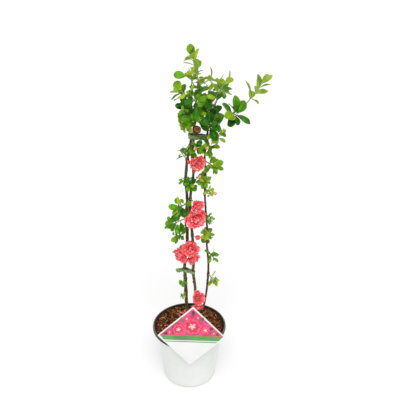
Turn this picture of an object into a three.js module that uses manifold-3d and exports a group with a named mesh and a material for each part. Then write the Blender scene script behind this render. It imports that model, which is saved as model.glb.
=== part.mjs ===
// A flowering quince in its nursery pot: three stems tied together, a crown that leans to the right,
// double coral blossom along the stems, and a square label card hung on the front of the rim.
// Millimetres, +Z up, +X to the right seen from the front. The origin is the centre of the pot's
// underside.
import * as THREE from 'three'
import { mergeVertices } from 'three/addons/utils/BufferGeometryUtils.js'
import Module from 'manifold-3d'

const wasm = await Module()
wasm.setup()

// Clearance between neighbours, and how finely the space that foliage fills is mapped
const GAP = 0.3
const CELL = 2.2
const SAMPLE = 1.3
const MAP_OFFSET = 900.1
const MAP_SPAN = 2048
const HALVINGS = 40

// Pot
const RIM_RADIUS = 95
const POT_HEIGHT = 155
const MOUTH_RADIUS = 89.5
const NECK_HEIGHT = 146
const NECK_RISE = 5
const FLANGE_THICKNESS = 2.4
const LIP_DEPTH = 6.5
const WALL = 1.8
const FLOOR = 2.4
const WALL_FOOT_RADIUS = 68.5
const WALL_FOOT_HEIGHT = 8
const WALL_TOP_RADIUS = 85
const FLAT_RADIUS = 62
const FOOT_ROUND = 4.2
const LIP_ROUND = 1
const POT_SIDES = 32

// Growing mix, level where the stems stand and rough with bark chips elsewhere
const SOIL_DEPTH = 4
const SOIL_TOP = POT_HEIGHT - SOIL_DEPTH
const CHIP_HEIGHT = 2.6
const CHIP_SPACING = 7.5
const LEVEL_MARGIN = 9
const SOIL_RINGS = [78, 67, 56, 44, 32, 19, 0]

// Label card, a square on its corner that leans back over the rim, with a hook behind it
const CARD_SIDE = 118.5
const CARD_THICKNESS = 1
const CARD_CENTRE_X = 5.2
const CARD_RISE = 34.3
const CARD_ROLL = 3.2
const CARD_LEAN = 5
const CARD_CORNER = 2
const CARD_HOLE_RADIUS = 2.6
const CARD_HOLE_DROP = 11
const HOOK_WIDTH = 24
const HOOK_THICKNESS = 1.2
const HOOK_DROP = 2.4

// Ties of soft green tape
const TAPE_THICKNESS = 0.8
const TAPE_SLACK = 0.8
const LOWER_TIE = { height: 314, width: 8, tail: 16, hump: 6, forward: 4 }
const UPPER_TIE = { height: 672, width: 11, slope: -6, lift: 2 }

// Shoots, leaves and blossom
const TWIG_FOOT = 1.6
const TWIG_TIP = 1.1
const STALK_FOOT = 1.8
const STALK_TIP = 1.4
const ARCH = 0.36
const FIRST_LEAF = 0.35
const FIRST_LEAF_BY_BLOOM = 0.25
const GOLDEN_ANGLE = 137.5
const WIDE_SPREAD = 74
const CLOSE_SPREAD = 24
const SPREAD_JITTER = 12
const TURN_JITTER = 16
const LENGTH_JITTER = 0.15
const WIDTH_JITTER = 0.1
const LEAF_LIFT = 0.14
const ROUND_LEAF = 0.66
const SLIM_LEAF = 0.36
const TIP_LEAF = 0.8
const LEAF_THICKNESS = 0.036
const PETAL_THICKNESS = 0.07
const THICKEST = 0.56
const ROOT_SINK = 0.3
const HEEL = 0.35

// How much a leaf faces its shoot's tip, the sky, and away from the line up the middle of the crown
const FACE_TIP = 0.5
const FACE_SKY = 0.55
const FACE_OUT = 0.4
const CROWN_MIDDLE_X = 20

// Side twigs: where on the stem they start, how they turn, and how long they are
const BRANCH_LEAVES = 3
const BRANCH_PLACE = [0.4, 0.65]
const BRANCH_LENGTH = 0.5
const BRANCH_SPREAD = 52
const BRANCH_TURN = 160
const BRANCH_JITTER = 20
const BRANCH_RISE = 0.2
const BRANCH_FOOT = 1.3

// Flowers: sizes as shares of the flower's width
const BLOOM_HEART = 0.15
const PETAL_WIDTH = 0.95
const PETAL_START = 0.09
const PETAL_TILT_JITTER = 7
const PETAL_LENGTH_JITTER = 0.06
const CLUSTER_OFFSET = 0.36
const CLUSTER_TURN_OUT = 0.8
const BLOOM_STALK_START = 0.6

// Half widths of a leaf and of a petal along their length, as shares of half the full width
const LEAF_OUTLINE = [[0, 0.03], [0.15, 0.08], [0.5, 0.92], [0.78, 0.8], [1, 0]]
const SMALL_OUTLINE = [[0, 0.05], [0.58, 0.95], [1, 0]]
const SMALL_LEAF = 19
const PETAL_OUTLINE = [[0, 0.2], [0.55, 1], [0.9, 0.7], [1, 0]]
const PETAL_RINGS = [
  { count: 5, tilt: 74, length: 0.46 },
  { count: 3, tilt: 34, length: 0.36 },
]

// Stems rise from the growing mix; a bough follows a stem's tip or springs from a limb's flank
const STEM_FOOT = SOIL_TOP + GAP
const FLARE = 0.45
const FLARE_REACH = 0.05
const UPRIGHT_FOOT = 12
const LIMBS = [
  {
    name: 'stem_left', foot: 4.5, tip: 2.9, sides: 8, steps: 20,
    points: [
      [-3, 22, STEM_FOOT], [-6, 20, 192], [-9, 16, 288], [-10, 15, 331], [-3, 13, 401],
      [-5, 12, 471], [-2, 11, 512], [-5, 10, 560], [-2, 8, 609], [7, 6, 661], [12, 7, 684],
    ],
  },
  {
    name: 'stem_middle', foot: 3.8, tip: 2.8, sides: 8, steps: 20,
    points: [
      [8, 12, STEM_FOOT], [14, 8, 216], [16, 6, 262], [11, 4, 311], [12, 3, 344], [10, 2, 410],
      [5, 2, 484], [6, 2, 529], [13, 0, 589], [10, -1, 625], [12, -1, 650], [15, -3, 684],
    ],
  },
  {
    name: 'stem_right', foot: 2.7, tip: 2.1, sides: 8, steps: 20,
    points: [
      [30, 36, STEM_FOOT], [38, 34, 185], [46, 30, 241], [50, 26, 318], [45, 21, 390],
      [47, 20, 416], [42, 17, 482], [40, 14, 536], [41, 12, 584], [39, 10, 620], [42, 8, 660],
      [45, 7, 684],
    ],
  },
  {
    name: 'bough_top', foot: 2.8, tip: 1.4, sides: 8, steps: 10, follows: 'stem_left',
    points: [[16, 9, 702], [24, 8, 730], [28, 4, 752], [25, 1, 775], [24, 0, 800]],
  },
  {
    name: 'bough_right', foot: 2.1, tip: 1.4, sides: 8, steps: 10, follows: 'stem_right',
    points: [[48, 6, 695], [60, 2, 709], [79, -4, 724], [96, -8, 730], [107, -10, 737]],
  },
  {
    name: 'pruned_stub', foot: 4.6, tip: 8.6, sides: 12, steps: 5, follows: 'stem_middle',
    points: [[18, -7, 691], [22, -13, 698]],
  },
  {
    name: 'bough_left', foot: 1.9, tip: 1.3, sides: 6, steps: 6,
    from: 'bough_top', height: 700, reach: [-5, -10, 774],
  },
  {
    name: 'bough_back', foot: 1.9, tip: 1.3, sides: 6, steps: 6,
    from: 'bough_top', height: 714, reach: [10, 46, 776],
  },
  {
    name: 'bough_back_right', foot: 1.8, tip: 1.3, sides: 6, steps: 6,
    from: 'bough_right', height: 700, reach: [72, 40, 762],
  },
]

// Masses of foliage and blossom, in the order in which they take their room.
// limb and height: where the stem springs; reach: where the stem ends; size: leaf length
const DARK = '#1f6b23'
const GREEN = '#3f8f2a'
const LIME = '#8fb832'
const CORAL = '#e8505f'
const MASSES = [
  { name: 'bloom_high', limb: 'stem_middle', height: 618, reach: [21, -24, 622], leaves: 3,
    size: 22, turn: 90, seed: 11, tint: CORAL, blooms: 1, bloom: 42 },
  { name: 'bloom_upper', limb: 'stem_middle', height: 520, reach: [19, -26, 515], leaves: 2,
    size: 20, turn: 330, seed: 12, tint: CORAL, blooms: 1, bloom: 36 },
  { name: 'bloom_main', limb: 'stem_middle', height: 480, reach: [15, -26, 482], leaves: 2,
    size: 22, turn: 350, seed: 313, tint: CORAL, blooms: 1, bloom: 50 },
  { name: 'bloom_cluster', limb: 'stem_left', height: 388, reach: [-2, -20, 384], leaves: 2,
    size: 22, turn: 350, seed: 214, tint: CORAL, blooms: 3, bloom: 40 },
  { name: 'bloom_foot', limb: 'stem_middle', height: 236, reach: [21, -10, 234], leaves: 1,
    size: 16, turn: 90, seed: 315, tint: CORAL, blooms: 2, bloom: 32 },
  { name: 'bloom_back', limb: 'stem_left', height: 462, reach: [16, 40, 452], leaves: 3, size: 24,
    turn: 130, seed: 116, tint: CORAL, blooms: 1, bloom: 42 },

  { name: 'leaves_leader_left', limb: 'bough_top', height: 790, reach: [2, -9, 815], leaves: 1,
    size: 44, turn: 30, seed: 22, tint: GREEN, bow: 10 },
  { name: 'leaves_leader', limb: 'bough_top', reach: [14, 0, 852], leaves: 7, size: 35, turn: 310,
    seed: 21, tint: LIME, young: 0.2 },
  { name: 'leaves_left_high', limb: 'bough_left', reach: [-14, -12, 787], leaves: 3, size: 30,
    turn: 210, seed: 123, tint: LIME },
  { name: 'leaves_arch', limb: 'bough_top', height: 796, reach: [73, -3, 789], leaves: 8, size: 29,
    turn: 190, seed: 224, tint: LIME, young: 0.45, close: 24, bow: 34 },
  { name: 'leaves_upright', limb: 'bough_top', height: 748, reach: [87, -14, 808], leaves: 7,
    size: 31, turn: 0, seed: 125, tint: LIME, young: 0.4, first: 0.5 },
  { name: 'leaves_bough_node', limb: 'bough_right', height: 730, reach: [104, -34, 738], leaves: 8,
    size: 42, turn: 30, seed: 26, tint: DARK, first: 0.7, close: 40 },
  { name: 'leaves_bough_tip', limb: 'bough_right', reach: [162, -14, 802], leaves: 10, size: 38,
    turn: 180, seed: 327, tint: LIME, young: 0.45, first: 0.45 },
  { name: 'leaves_front_low', limb: 'bough_top', height: 718, reach: [9, -42, 734], leaves: 9,
    size: 29, turn: 320, seed: 31, tint: LIME, close: 55, branches: 2 },
  { name: 'leaves_right_big', limb: 'bough_right', height: 697, reach: [50, -48, 722], leaves: 8,
    size: 38, turn: 110, seed: 133, tint: DARK, first: 0.5, close: 40 },
  { name: 'leaves_right_dark', limb: 'bough_right', height: 702, reach: [46, -30, 752], leaves: 10,
    size: 35, turn: 350, seed: 232, tint: DARK, branches: 1 },
  { name: 'leaves_front_high', limb: 'bough_top', height: 742, reach: [16, -46, 776], leaves: 11,
    size: 30, turn: 10, seed: 28, tint: GREEN, first: 0.45, close: 70, branches: 2 },
  { name: 'leaves_left_mid', limb: 'bough_left', height: 742, reach: [-7, -30, 750], leaves: 9,
    size: 23, turn: 180, seed: 229, tint: GREEN, close: 40, branches: 2 },
  { name: 'leaves_low_left', limb: 'bough_left', height: 712, reach: [-4, -24, 712], leaves: 8,
    size: 23, turn: 100, seed: 230, tint: LIME },
  { name: 'leaves_right_droop', limb: 'bough_right', height: 689, reach: [72, -4, 678], leaves: 7,
    size: 32, turn: 340, seed: 334, tint: GREEN, young: 0.7, close: 70 },
  { name: 'leaves_back_high', limb: 'bough_back', reach: [16, 62, 799], leaves: 8, size: 29,
    turn: 330, seed: 235, tint: LIME, young: 0.15 },
  { name: 'leaves_back_mid', limb: 'bough_back', height: 748, reach: [-18, 50, 763], leaves: 7,
    size: 32, turn: 290, seed: 36, tint: GREEN, close: 55, branches: 1 },
  { name: 'leaves_back_low', limb: 'bough_top', height: 706, reach: [0, 46, 716], leaves: 7,
    size: 26, turn: 160, seed: 237, tint: DARK, close: 40 },
  { name: 'leaves_back_right', limb: 'bough_back_right', reach: [77, 54, 768], leaves: 8, size: 32,
    turn: 230, seed: 138, tint: GREEN, young: 0.05 },
  { name: 'leaves_back_side', limb: 'bough_back_right', height: 738, reach: [50, 62, 738],
    leaves: 8, size: 28, turn: 90, seed: 339, tint: DARK, close: 40 },
  { name: 'leaves_back_top', limb: 'bough_top', height: 768, reach: [30, 34, 795], leaves: 6,
    size: 28, turn: 30, seed: 340, tint: LIME, young: 0.3, close: 70 },

  { name: 'leaves_under_right', limb: 'stem_right', height: 652, reach: [54, -8, 654], leaves: 4,
    size: 27, turn: 280, seed: 341, tint: GREEN, close: 55 },
  { name: 'leaves_under_front', limb: 'stem_middle', height: 652, reach: [22, -26, 657], leaves: 6,
    size: 28, turn: 70, seed: 42, tint: DARK },
  { name: 'leaves_under_left', limb: 'stem_left', height: 652, reach: [-4, -4, 648], leaves: 5,
    size: 16, turn: 20, seed: 343, tint: GREEN },
  { name: 'leaves_round_right', limb: 'stem_right', height: 612, reach: [62, -14, 607], leaves: 9,
    size: 27, turn: 180, seed: 44, tint: GREEN, first: 0.3 },
  { name: 'leaves_small_left', limb: 'stem_left', height: 570, reach: [-11, 0, 567], leaves: 7,
    size: 15, turn: 210, seed: 245, tint: GREEN },
  { name: 'leaves_between', limb: 'stem_middle', height: 564, reach: [3, -22, 568], leaves: 8,
    size: 19, turn: 230, seed: 246, tint: GREEN, close: 70 },
  { name: 'spur_right_high', limb: 'stem_right', height: 564, reach: [38, -14, 570], leaves: 8,
    size: 18, turn: 150, seed: 247, tint: LIME, close: 70 },
  { name: 'spur_right_bud', limb: 'stem_right', height: 540, reach: [52, -4, 540], leaves: 8,
    size: 16, turn: 320, seed: 48, tint: GREEN },
  { name: 'leaves_left_upper', limb: 'stem_left', height: 503, reach: [-23, -14, 504], leaves: 8,
    size: 32, turn: 160, seed: 349, tint: LIME, branches: 1 },
  { name: 'leaves_left_lower', limb: 'stem_left', height: 462, reach: [-39, -10, 458], leaves: 9,
    size: 28, turn: 240, seed: 150, tint: GREEN },
  { name: 'leaves_left_foot', limb: 'stem_left', height: 432, reach: [-25, -12, 422], leaves: 9,
    size: 22, turn: 10, seed: 251, tint: GREEN, close: 24 },
  { name: 'spur_right_mid', limb: 'stem_right', height: 470, reach: [51, 2, 461], leaves: 8,
    size: 17, turn: 120, seed: 52, tint: GREEN, close: 40 },
  { name: 'spur_right_low', limb: 'stem_right', height: 426, reach: [38, -2, 421], leaves: 6,
    size: 18, turn: 140, seed: 53, tint: LIME, close: 24 },
  { name: 'spur_right_curl', limb: 'stem_right', height: 362, reach: [60, 2, 359], leaves: 5,
    size: 22, turn: 50, seed: 354, tint: GREEN, young: 0.5 },
  { name: 'spur_right_spray', limb: 'stem_right', height: 292, reach: [62, 8, 284], leaves: 8,
    size: 22, turn: 140, seed: 355, tint: LIME, young: 0.5 },
  { name: 'spur_left_low', limb: 'stem_left', height: 286, reach: [-17, 4, 281], leaves: 6,
    size: 13, turn: 210, seed: 356, tint: GREEN },
  { name: 'spur_left_foot', limb: 'stem_left', height: 246, reach: [-15, 6, 242], leaves: 5,
    size: 15, turn: 30, seed: 357, tint: LIME },
  { name: 'leaves_back_column', limb: 'stem_left', height: 616, reach: [-14, 34, 624], leaves: 6,
    size: 22, turn: 60, seed: 58, tint: GREEN, close: 70 },
  { name: 'leaves_back_middle', limb: 'stem_right', height: 556, reach: [37, 44, 549], leaves: 7,
    size: 24, turn: 80, seed: 359, tint: GREEN },
  { name: 'spur_back_low', limb: 'stem_right', height: 396, reach: [50, 48, 397], leaves: 7,
    size: 23, turn: 90, seed: 60, tint: GREEN, close: 55 },
]

// Numbers and vectors
const UP = new THREE.Vector3(0, 0, 1)
const FRONT = new THREE.Vector3(0, 1, 0)
const RIGHT = new THREE.Vector3(1, 0, 0)

function mix(a, b, t) {
  return a + (b - a) * t
}

function radians(degrees) {
  return (degrees * Math.PI) / 180
}

function vector(values) {
  return new THREE.Vector3(...values)
}

// A small seeded generator, the same in any language with 32-bit integers
function seeded(seed) {
  let state = seed >>> 0
  return () => {
    state = (state + 0x6d2b79f5) >>> 0
    let bits = Math.imul(state ^ (state >>> 15), state | 1)
    bits = (bits + Math.imul(bits ^ (bits >>> 7), bits | 61)) ^ bits
    return ((bits ^ (bits >>> 14)) >>> 0) / 4294967296
  }
}

function jitter(random, amount) {
  return (random() * 2 - 1) * amount
}

// Two directions square to the given one and to each other
function sideways(along) {
  const reference = Math.abs(along.z) < 0.9 ? UP : FRONT
  const across = new THREE.Vector3().crossVectors(along, reference).normalize()
  return [across, new THREE.Vector3().crossVectors(across, along)]
}

// Solids: three.js geometry in, joined or cut, three.js geometry out
function signedVolume(positions, triangles) {
  let volume = 0
  const [a, b, c] = [new THREE.Vector3(), new THREE.Vector3(), new THREE.Vector3()]
  for (let i = 0; i < triangles.length; i += 3) {
    a.fromArray(positions, 3 * triangles[i])
    b.fromArray(positions, 3 * triangles[i + 1])
    c.fromArray(positions, 3 * triangles[i + 2])
    volume += a.dot(b.cross(c)) / 6
  }
  return volume
}

function solid(geometry) {
  const bare = new THREE.BufferGeometry()
  bare.setAttribute('position', geometry.getAttribute('position'))
  bare.setIndex(geometry.index)
  const merged = mergeVertices(bare, 1e-4)
  const positions = merged.getAttribute('position').array
  const corners = merged.index.array
  const triangles = []
  for (let i = 0; i < corners.length; i += 3) {
    const [a, b, c] = corners.slice(i, i + 3)
    if (a !== b && b !== c && c !== a) triangles.push(a, b, c)
  }
  if (signedVolume(positions, triangles) < 0) triangles.reverse()
  return new wasm.Manifold(
    new wasm.Mesh({ numProp: 3, vertProperties: positions, triVerts: new Uint32Array(triangles) }),
  )
}

function joined(solids) {
  return solids.reduce((whole, piece) => whole.add(piece))
}

// The outer skin of the biggest body: loose scraps and sealed hollows are dropped
function biggestBody(whole) {
  return whole.decompose().reduce((best, body) => (body.volume() > best.volume() ? body : best))
}

function geometryOf(whole) {
  const mesh = whole.getMesh()
  const geometry = new THREE.BufferGeometry()
  geometry.setAttribute('position', new THREE.BufferAttribute(new Float32Array(mesh.vertProperties), 3))
  geometry.setIndex(new THREE.BufferAttribute(new Uint32Array(mesh.triVerts), 1))
  geometry.computeVertexNormals()
  return geometry
}

// A round limb or twig: a cylinder laid along a curve, its radius given for each place on the curve
function tube(curve, radiusAt, sides, steps) {
  const geometry = new THREE.CylinderGeometry(1, 1, 1, sides, steps)
  const position = geometry.getAttribute('position')
  const chord = curve.getPoint(1).sub(curve.getPoint(0)).normalize()
  const reference = Math.abs(chord.y) < 0.6 ? FRONT : RIGHT
  for (let i = 0; i < position.count; i++) {
    const t = position.getY(i) + 0.5
    const centre = curve.getPoint(t)
    const along = curve.getTangent(t)
    const across = new THREE.Vector3().crossVectors(along, reference).normalize()
    const over = new THREE.Vector3().crossVectors(across, along)
    centre.addScaledVector(across, position.getX(i) * radiusAt(t))
    centre.addScaledVector(over, position.getZ(i) * radiusAt(t))
    position.setXYZ(i, centre.x, centre.y, centre.z)
  }
  return geometry
}

// A leaf or petal: flat, pointed in section, thickest in the middle and as thick as a stalk at its foot
function bladeGeometry(blade) {
  const rows = blade.outline.slice(1, -1)
  const half = blade.thickness / 2
  const local = [[0, 0, HEEL], [0, 0, -HEEL]]
  rows.forEach(([u, v]) => local.push([u * blade.length, (v * blade.width) / 2, 0]))
  local.push([blade.length, 0, 0])
  rows
    .slice()
    .reverse()
    .forEach(([u, v]) => local.push([u * blade.length, (-v * blade.width) / 2, 0]))
  const ring = local.length
  local.push([THICKEST * blade.length, 0, half], [THICKEST * blade.length, 0, -half])
  const [topFoot, underFoot, top, under] = [0, 1, ring, ring + 1]
  const triangles = [topFoot, underFoot, 2, underFoot, topFoot, ring - 1]
  for (let i = 2; i < ring - 1; i++) triangles.push(top, i, i + 1, under, i + 1, i)
  triangles.push(top, topFoot, 2, top, ring - 1, topFoot)
  triangles.push(under, 2, underFoot, under, underFoot, ring - 1)
  const side = new THREE.Vector3().crossVectors(blade.normal, blade.direction)
  const foot = blade.foot.clone().addScaledVector(blade.direction, -ROOT_SINK)
  const positions = []
  for (const [u, v, w] of local) {
    const corner = foot.clone().addScaledVector(blade.direction, u)
    corner.addScaledVector(side, v).addScaledVector(blade.normal, w)
    positions.push(corner.x, corner.y, corner.z)
  }
  const geometry = new THREE.BufferGeometry()
  geometry.setAttribute('position', new THREE.Float32BufferAttribute(positions, 3))
  geometry.setIndex(triangles)
  return geometry
}

// The space map: which piece has taken each small cell
const taken = new Map()

function cellKey(x, y, z) {
  return (x * MAP_SPAN + y) * MAP_SPAN + z
}

function cellOf(point) {
  return [point.x, point.y, point.z].map((value) => Math.floor((value + MAP_OFFSET) / CELL))
}

function take(points, owner) {
  for (const point of points) {
    const key = cellKey(...cellOf(point))
    if (!taken.has(key)) taken.set(key, owner)
  }
}

function isFree(points, owner) {
  for (const point of points) {
    const [x, y, z] = cellOf(point)
    for (let i = -1; i <= 1; i++) {
      for (let j = -1; j <= 1; j++) {
        for (let k = -1; k <= 1; k++) {
          const holder = taken.get(cellKey(x + i, y + j, z + k))
          if (holder !== undefined && holder !== owner) return false
        }
      }
    }
  }
  return true
}

function tubePoints(curve, radiusAt, sides) {
  const points = []
  const steps = Math.ceil(curve.getLength() / SAMPLE)
  for (let i = 0; i <= steps; i++) {
    const t = i / steps
    const centre = curve.getPoint(t)
    points.push(centre)
    const [across, over] = sideways(curve.getTangent(t))
    for (let j = 0; j < sides; j++) {
      const turn = (2 * Math.PI * j) / sides
      const point = centre.clone().addScaledVector(across, Math.cos(turn) * radiusAt(t))
      points.push(point.addScaledVector(over, Math.sin(turn) * radiusAt(t)))
    }
  }
  return points
}

function halfWidthAt(blade, u) {
  const next = blade.outline.findIndex(([place]) => place >= u)
  const [u1, v1] = blade.outline[Math.max(next, 1)]
  const [u0, v0] = blade.outline[Math.max(next, 1) - 1]
  return (mix(v0, v1, (u - u0) / (u1 - u0)) * blade.width) / 2
}

function bladePoints(blade) {
  const points = []
  const side = new THREE.Vector3().crossVectors(blade.normal, blade.direction)
  const rows = Math.ceil(blade.length / SAMPLE)
  for (let i = 1; i <= rows; i++) {
    const half = halfWidthAt(blade, i / rows)
    const columns = Math.ceil(half / SAMPLE)
    for (let j = -columns; j <= columns; j++) {
      const point = blade.foot.clone().addScaledVector(blade.direction, (blade.length * i) / rows)
      points.push(point.addScaledVector(side, columns ? (half * j) / columns : 0))
    }
  }
  return points
}

// Limbs
const limbs = new Map()

function placeAtHeight(limb, height) {
  let low = 0
  let high = 1
  for (let i = 0; i < HALVINGS; i++) {
    const middle = (low + high) / 2
    if (limb.curve.getPoint(middle).z < height) low = middle
    else high = middle
  }
  return low
}

// A curve that leaves a limb square to its flank, or runs on from its tip, and ends at reach
function springingCurve(limb, height, reach, bow = 0) {
  const fromTip = height === undefined
  const t = fromTip ? 1 : placeAtHeight(limb, height)
  const start = limb.curve.getPoint(t)
  const along = limb.curve.getTangent(t)
  const end = vector(reach)
  const out = end.clone().sub(start)
  if (fromTip) out.copy(along)
  else out.addScaledVector(along, -out.dot(along)).normalize()
  start.addScaledVector(out, fromTip ? GAP : limb.radiusAt(t) + GAP)
  const rise = start.clone().addScaledVector(out, start.distanceTo(end) * ARCH)
  const settle = end.clone().lerp(start, ARCH)
  settle.z += bow
  return new THREE.CubicBezierCurve3(start, rise, settle, end)
}

function limbCurve(spec) {
  if (spec.from) return springingCurve(limbs.get(spec.from), spec.height, spec.reach)
  const points = spec.points.map(vector)
  if (spec.follows) {
    const before = limbs.get(spec.follows).curve
    const start = before.getPoint(1).addScaledVector(before.getTangent(1), GAP)
    points.unshift(start, start.clone().addScaledVector(before.getTangent(1), 2))
  } else {
    points.splice(1, 0, points[0].clone().addScaledVector(UP, UPRIGHT_FOOT))
  }
  return new THREE.CatmullRomCurve3(points, false, 'catmullrom', 0.5)
}

function growLimb(spec) {
  const standing = !spec.from && !spec.follows
  const radiusAt = (t) => {
    const flare = standing ? 1 + FLARE * Math.exp(-t / FLARE_REACH) : 1
    return mix(spec.foot, spec.tip, t) * flare
  }
  const limb = { ...spec, curve: limbCurve(spec), radiusAt }
  limbs.set(spec.name, limb)
  take(tubePoints(limb.curve, radiusAt, 8), spec.name)
  return limb
}

// Leaves along a shoot: each turned by the golden angle from the last, closer to the shoot near its
// tip, with its face to the sky, to the shoot's tip and away from the middle of the plant
function leafBlade(stem, t, spread, turn, length, width) {
  const foot = stem.getPoint(t)
  const along = stem.getTangent(t)
  const [across, over] = sideways(along)
  const radial = across.multiplyScalar(Math.cos(turn)).addScaledVector(over, Math.sin(turn))
  const direction = along.clone().multiplyScalar(Math.cos(spread))
  direction.addScaledVector(radial, Math.sin(spread))
  direction.z += LEAF_LIFT
  direction.normalize()
  const outward = new THREE.Vector3(foot.x - CROWN_MIDDLE_X, foot.y, 0).normalize()
  const normal = along.clone().multiplyScalar(FACE_TIP * Math.sin(spread))
  normal.addScaledVector(radial, -FACE_TIP * Math.cos(spread))
  normal.addScaledVector(UP, FACE_SKY).addScaledVector(outward, FACE_OUT)
  normal.addScaledVector(direction, -normal.dot(direction)).normalize()
  const thickness = length * LEAF_THICKNESS
  const outline = length < SMALL_LEAF ? SMALL_OUTLINE : LEAF_OUTLINE
  return { foot, direction, normal, length, width, thickness, outline }
}

function growLeaves(mass, stem, count, first, random) {
  const blades = []
  for (let i = 0; i < count; i++) {
    const share = count > 1 ? i / (count - 1) : 1
    const t = mix(first, 1, share)
    const spread = mix(WIDE_SPREAD, mass.close ?? CLOSE_SPREAD, share) + jitter(random, SPREAD_JITTER)
    const turn = mass.turn + i * GOLDEN_ANGLE + jitter(random, TURN_JITTER)
    const length = mass.size * mix(1, TIP_LEAF, share) * (1 + jitter(random, LENGTH_JITTER))
    const slimness = mix(ROUND_LEAF, SLIM_LEAF, mass.young ?? 0)
    const width = length * slimness * (1 + jitter(random, WIDTH_JITTER))
    blades.push(leafBlade(stem, t, radians(spread), radians(turn), length, width))
  }
  return blades
}

// A side twig with a few leaves
function growBranch(mass, stem, index, random) {
  const t = mix(...BRANCH_PLACE, random())
  const turn = radians(mass.turn + 90 + index * BRANCH_TURN + jitter(random, BRANCH_JITTER))
  const start = stem.getPoint(t)
  const along = stem.getTangent(t)
  const [across, over] = sideways(along)
  const radial = across.multiplyScalar(Math.cos(turn)).addScaledVector(over, Math.sin(turn))
  const out = along.clone().multiplyScalar(Math.cos(radians(BRANCH_SPREAD)))
  out.addScaledVector(radial, Math.sin(radians(BRANCH_SPREAD)))
  const length = stem.getLength() * BRANCH_LENGTH
  const end = start.clone().addScaledVector(out, length)
  end.z += BRANCH_RISE * length
  const bend = start.clone().addScaledVector(out, length / 2)
  const curve = new THREE.QuadraticBezierCurve3(start, bend, end)
  return { curve, blades: growLeaves(mass, curve, BRANCH_LEAVES, 0.5, random) }
}

// A double flower: two rings of petals round a small heart
function growBloom(centre, facing, size, random) {
  const petals = []
  const [across, over] = sideways(facing)
  for (const ring of PETAL_RINGS) {
    const start = random() * 360
    for (let i = 0; i < ring.count; i++) {
      const turn = radians(start + (360 * i) / ring.count)
      const tilt = radians(ring.tilt + jitter(random, PETAL_TILT_JITTER))
      const radial = across.clone().multiplyScalar(Math.cos(turn))
      radial.addScaledVector(over, Math.sin(turn))
      const direction = facing.clone().multiplyScalar(Math.cos(tilt))
      direction.addScaledVector(radial, Math.sin(tilt))
      const normal = facing.clone().multiplyScalar(Math.sin(tilt))
      normal.addScaledVector(radial, -Math.cos(tilt))
      const length = size * ring.length * (1 + jitter(random, PETAL_LENGTH_JITTER))
      petals.push({
        foot: centre.clone().addScaledVector(direction, size * PETAL_START),
        direction, normal, length, width: length * PETAL_WIDTH,
        thickness: length * PETAL_THICKNESS, outline: PETAL_OUTLINE,
      })
    }
  }
  const heart = new THREE.IcosahedronGeometry(size * BLOOM_HEART, 0)
  heart.translate(centre.x, centre.y, centre.z)
  return { heart, petals }
}

// The flowers of a mass: one at the stem's tip, or several turned outward round it
function growBlooms(mass, stem, random) {
  const tip = stem.getPoint(1)
  const along = stem.getTangent(1)
  const [across, over] = sideways(along)
  const blooms = []
  for (let i = 0; i < (mass.blooms ?? 0); i++) {
    const facing = along.clone()
    const centre = tip.clone()
    if (mass.blooms > 1) {
      const turn = radians(mass.turn + (360 * i) / mass.blooms)
      const radial = across.clone().multiplyScalar(Math.cos(turn))
      radial.addScaledVector(over, Math.sin(turn))
      facing.addScaledVector(radial, CLUSTER_TURN_OUT).normalize()
      centre.addScaledVector(radial, mass.bloom * CLUSTER_OFFSET)
    }
    blooms.push({ centre, ...growBloom(centre, facing, mass.bloom, random) })
  }
  return blooms
}

function massStem(mass) {
  const curve = springingCurve(limbs.get(mass.limb), mass.height, mass.reach, mass.bow)
  const [foot, tip] = mass.blooms ? [STALK_FOOT, STALK_TIP] : [TWIG_FOOT, TWIG_TIP]
  return { curve, radiusAt: (t) => mix(foot, tip, t) }
}

// A mass of foliage: a branched twig with its leaves and flowers fused on, each kept only where it
// leaves room for the limbs and for the masses before it
function growMass(mass, stem) {
  const random = seeded(mass.seed)
  const solids = [solid(tube(stem.curve, stem.radiusAt, mass.blooms ? 4 : 3, 4))]
  const addBlade = (blade) => {
    const points = bladePoints(blade)
    if (!isFree(points, mass.name)) return
    take(points, mass.name)
    solids.push(solid(bladeGeometry(blade)))
  }
  for (const bloom of growBlooms(mass, stem.curve, random)) {
    const stalk = new THREE.LineCurve3(stem.curve.getPoint(BLOOM_STALK_START), bloom.centre)
    solids.push(solid(tube(stalk, () => STALK_TIP, 4, 1)))
    solids.push(solid(bloom.heart))
    bloom.petals.forEach(addBlade)
  }
  const first = mass.first ?? (mass.blooms ? FIRST_LEAF_BY_BLOOM : FIRST_LEAF)
  growLeaves(mass, stem.curve, mass.leaves, first, random).forEach(addBlade)
  for (let i = 0; i < (mass.branches ?? 0); i++) {
    const branch = growBranch(mass, stem.curve, i, random)
    const radiusAt = (t) => mix(BRANCH_FOOT, TWIG_TIP, t)
    const points = tubePoints(branch.curve, radiusAt, 3)
    if (!isFree(points, mass.name)) continue
    take(points, mass.name)
    solids.push(solid(tube(branch.curve, radiusAt, 3, 2)))
    branch.blades.forEach(addBlade)
  }
  return geometryOf(biggestBody(joined(solids)))
}

// Pot: a tapered wall with a rounded foot, a neck that widens to the mouth, and a rim with a lip
// turned down
function wallRadius(z) {
  const slope = (WALL_TOP_RADIUS - WALL_FOOT_RADIUS) / (POT_HEIGHT - WALL_FOOT_HEIGHT)
  return WALL_FOOT_RADIUS + slope * (z - WALL_FOOT_HEIGHT)
}

function lathe(profile, sides) {
  const points = profile.map(([radius, z]) => new THREE.Vector2(radius, z))
  const geometry = new THREE.LatheGeometry(points, sides)
  geometry.rotateX(Math.PI / 2)
  return geometry
}

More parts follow.
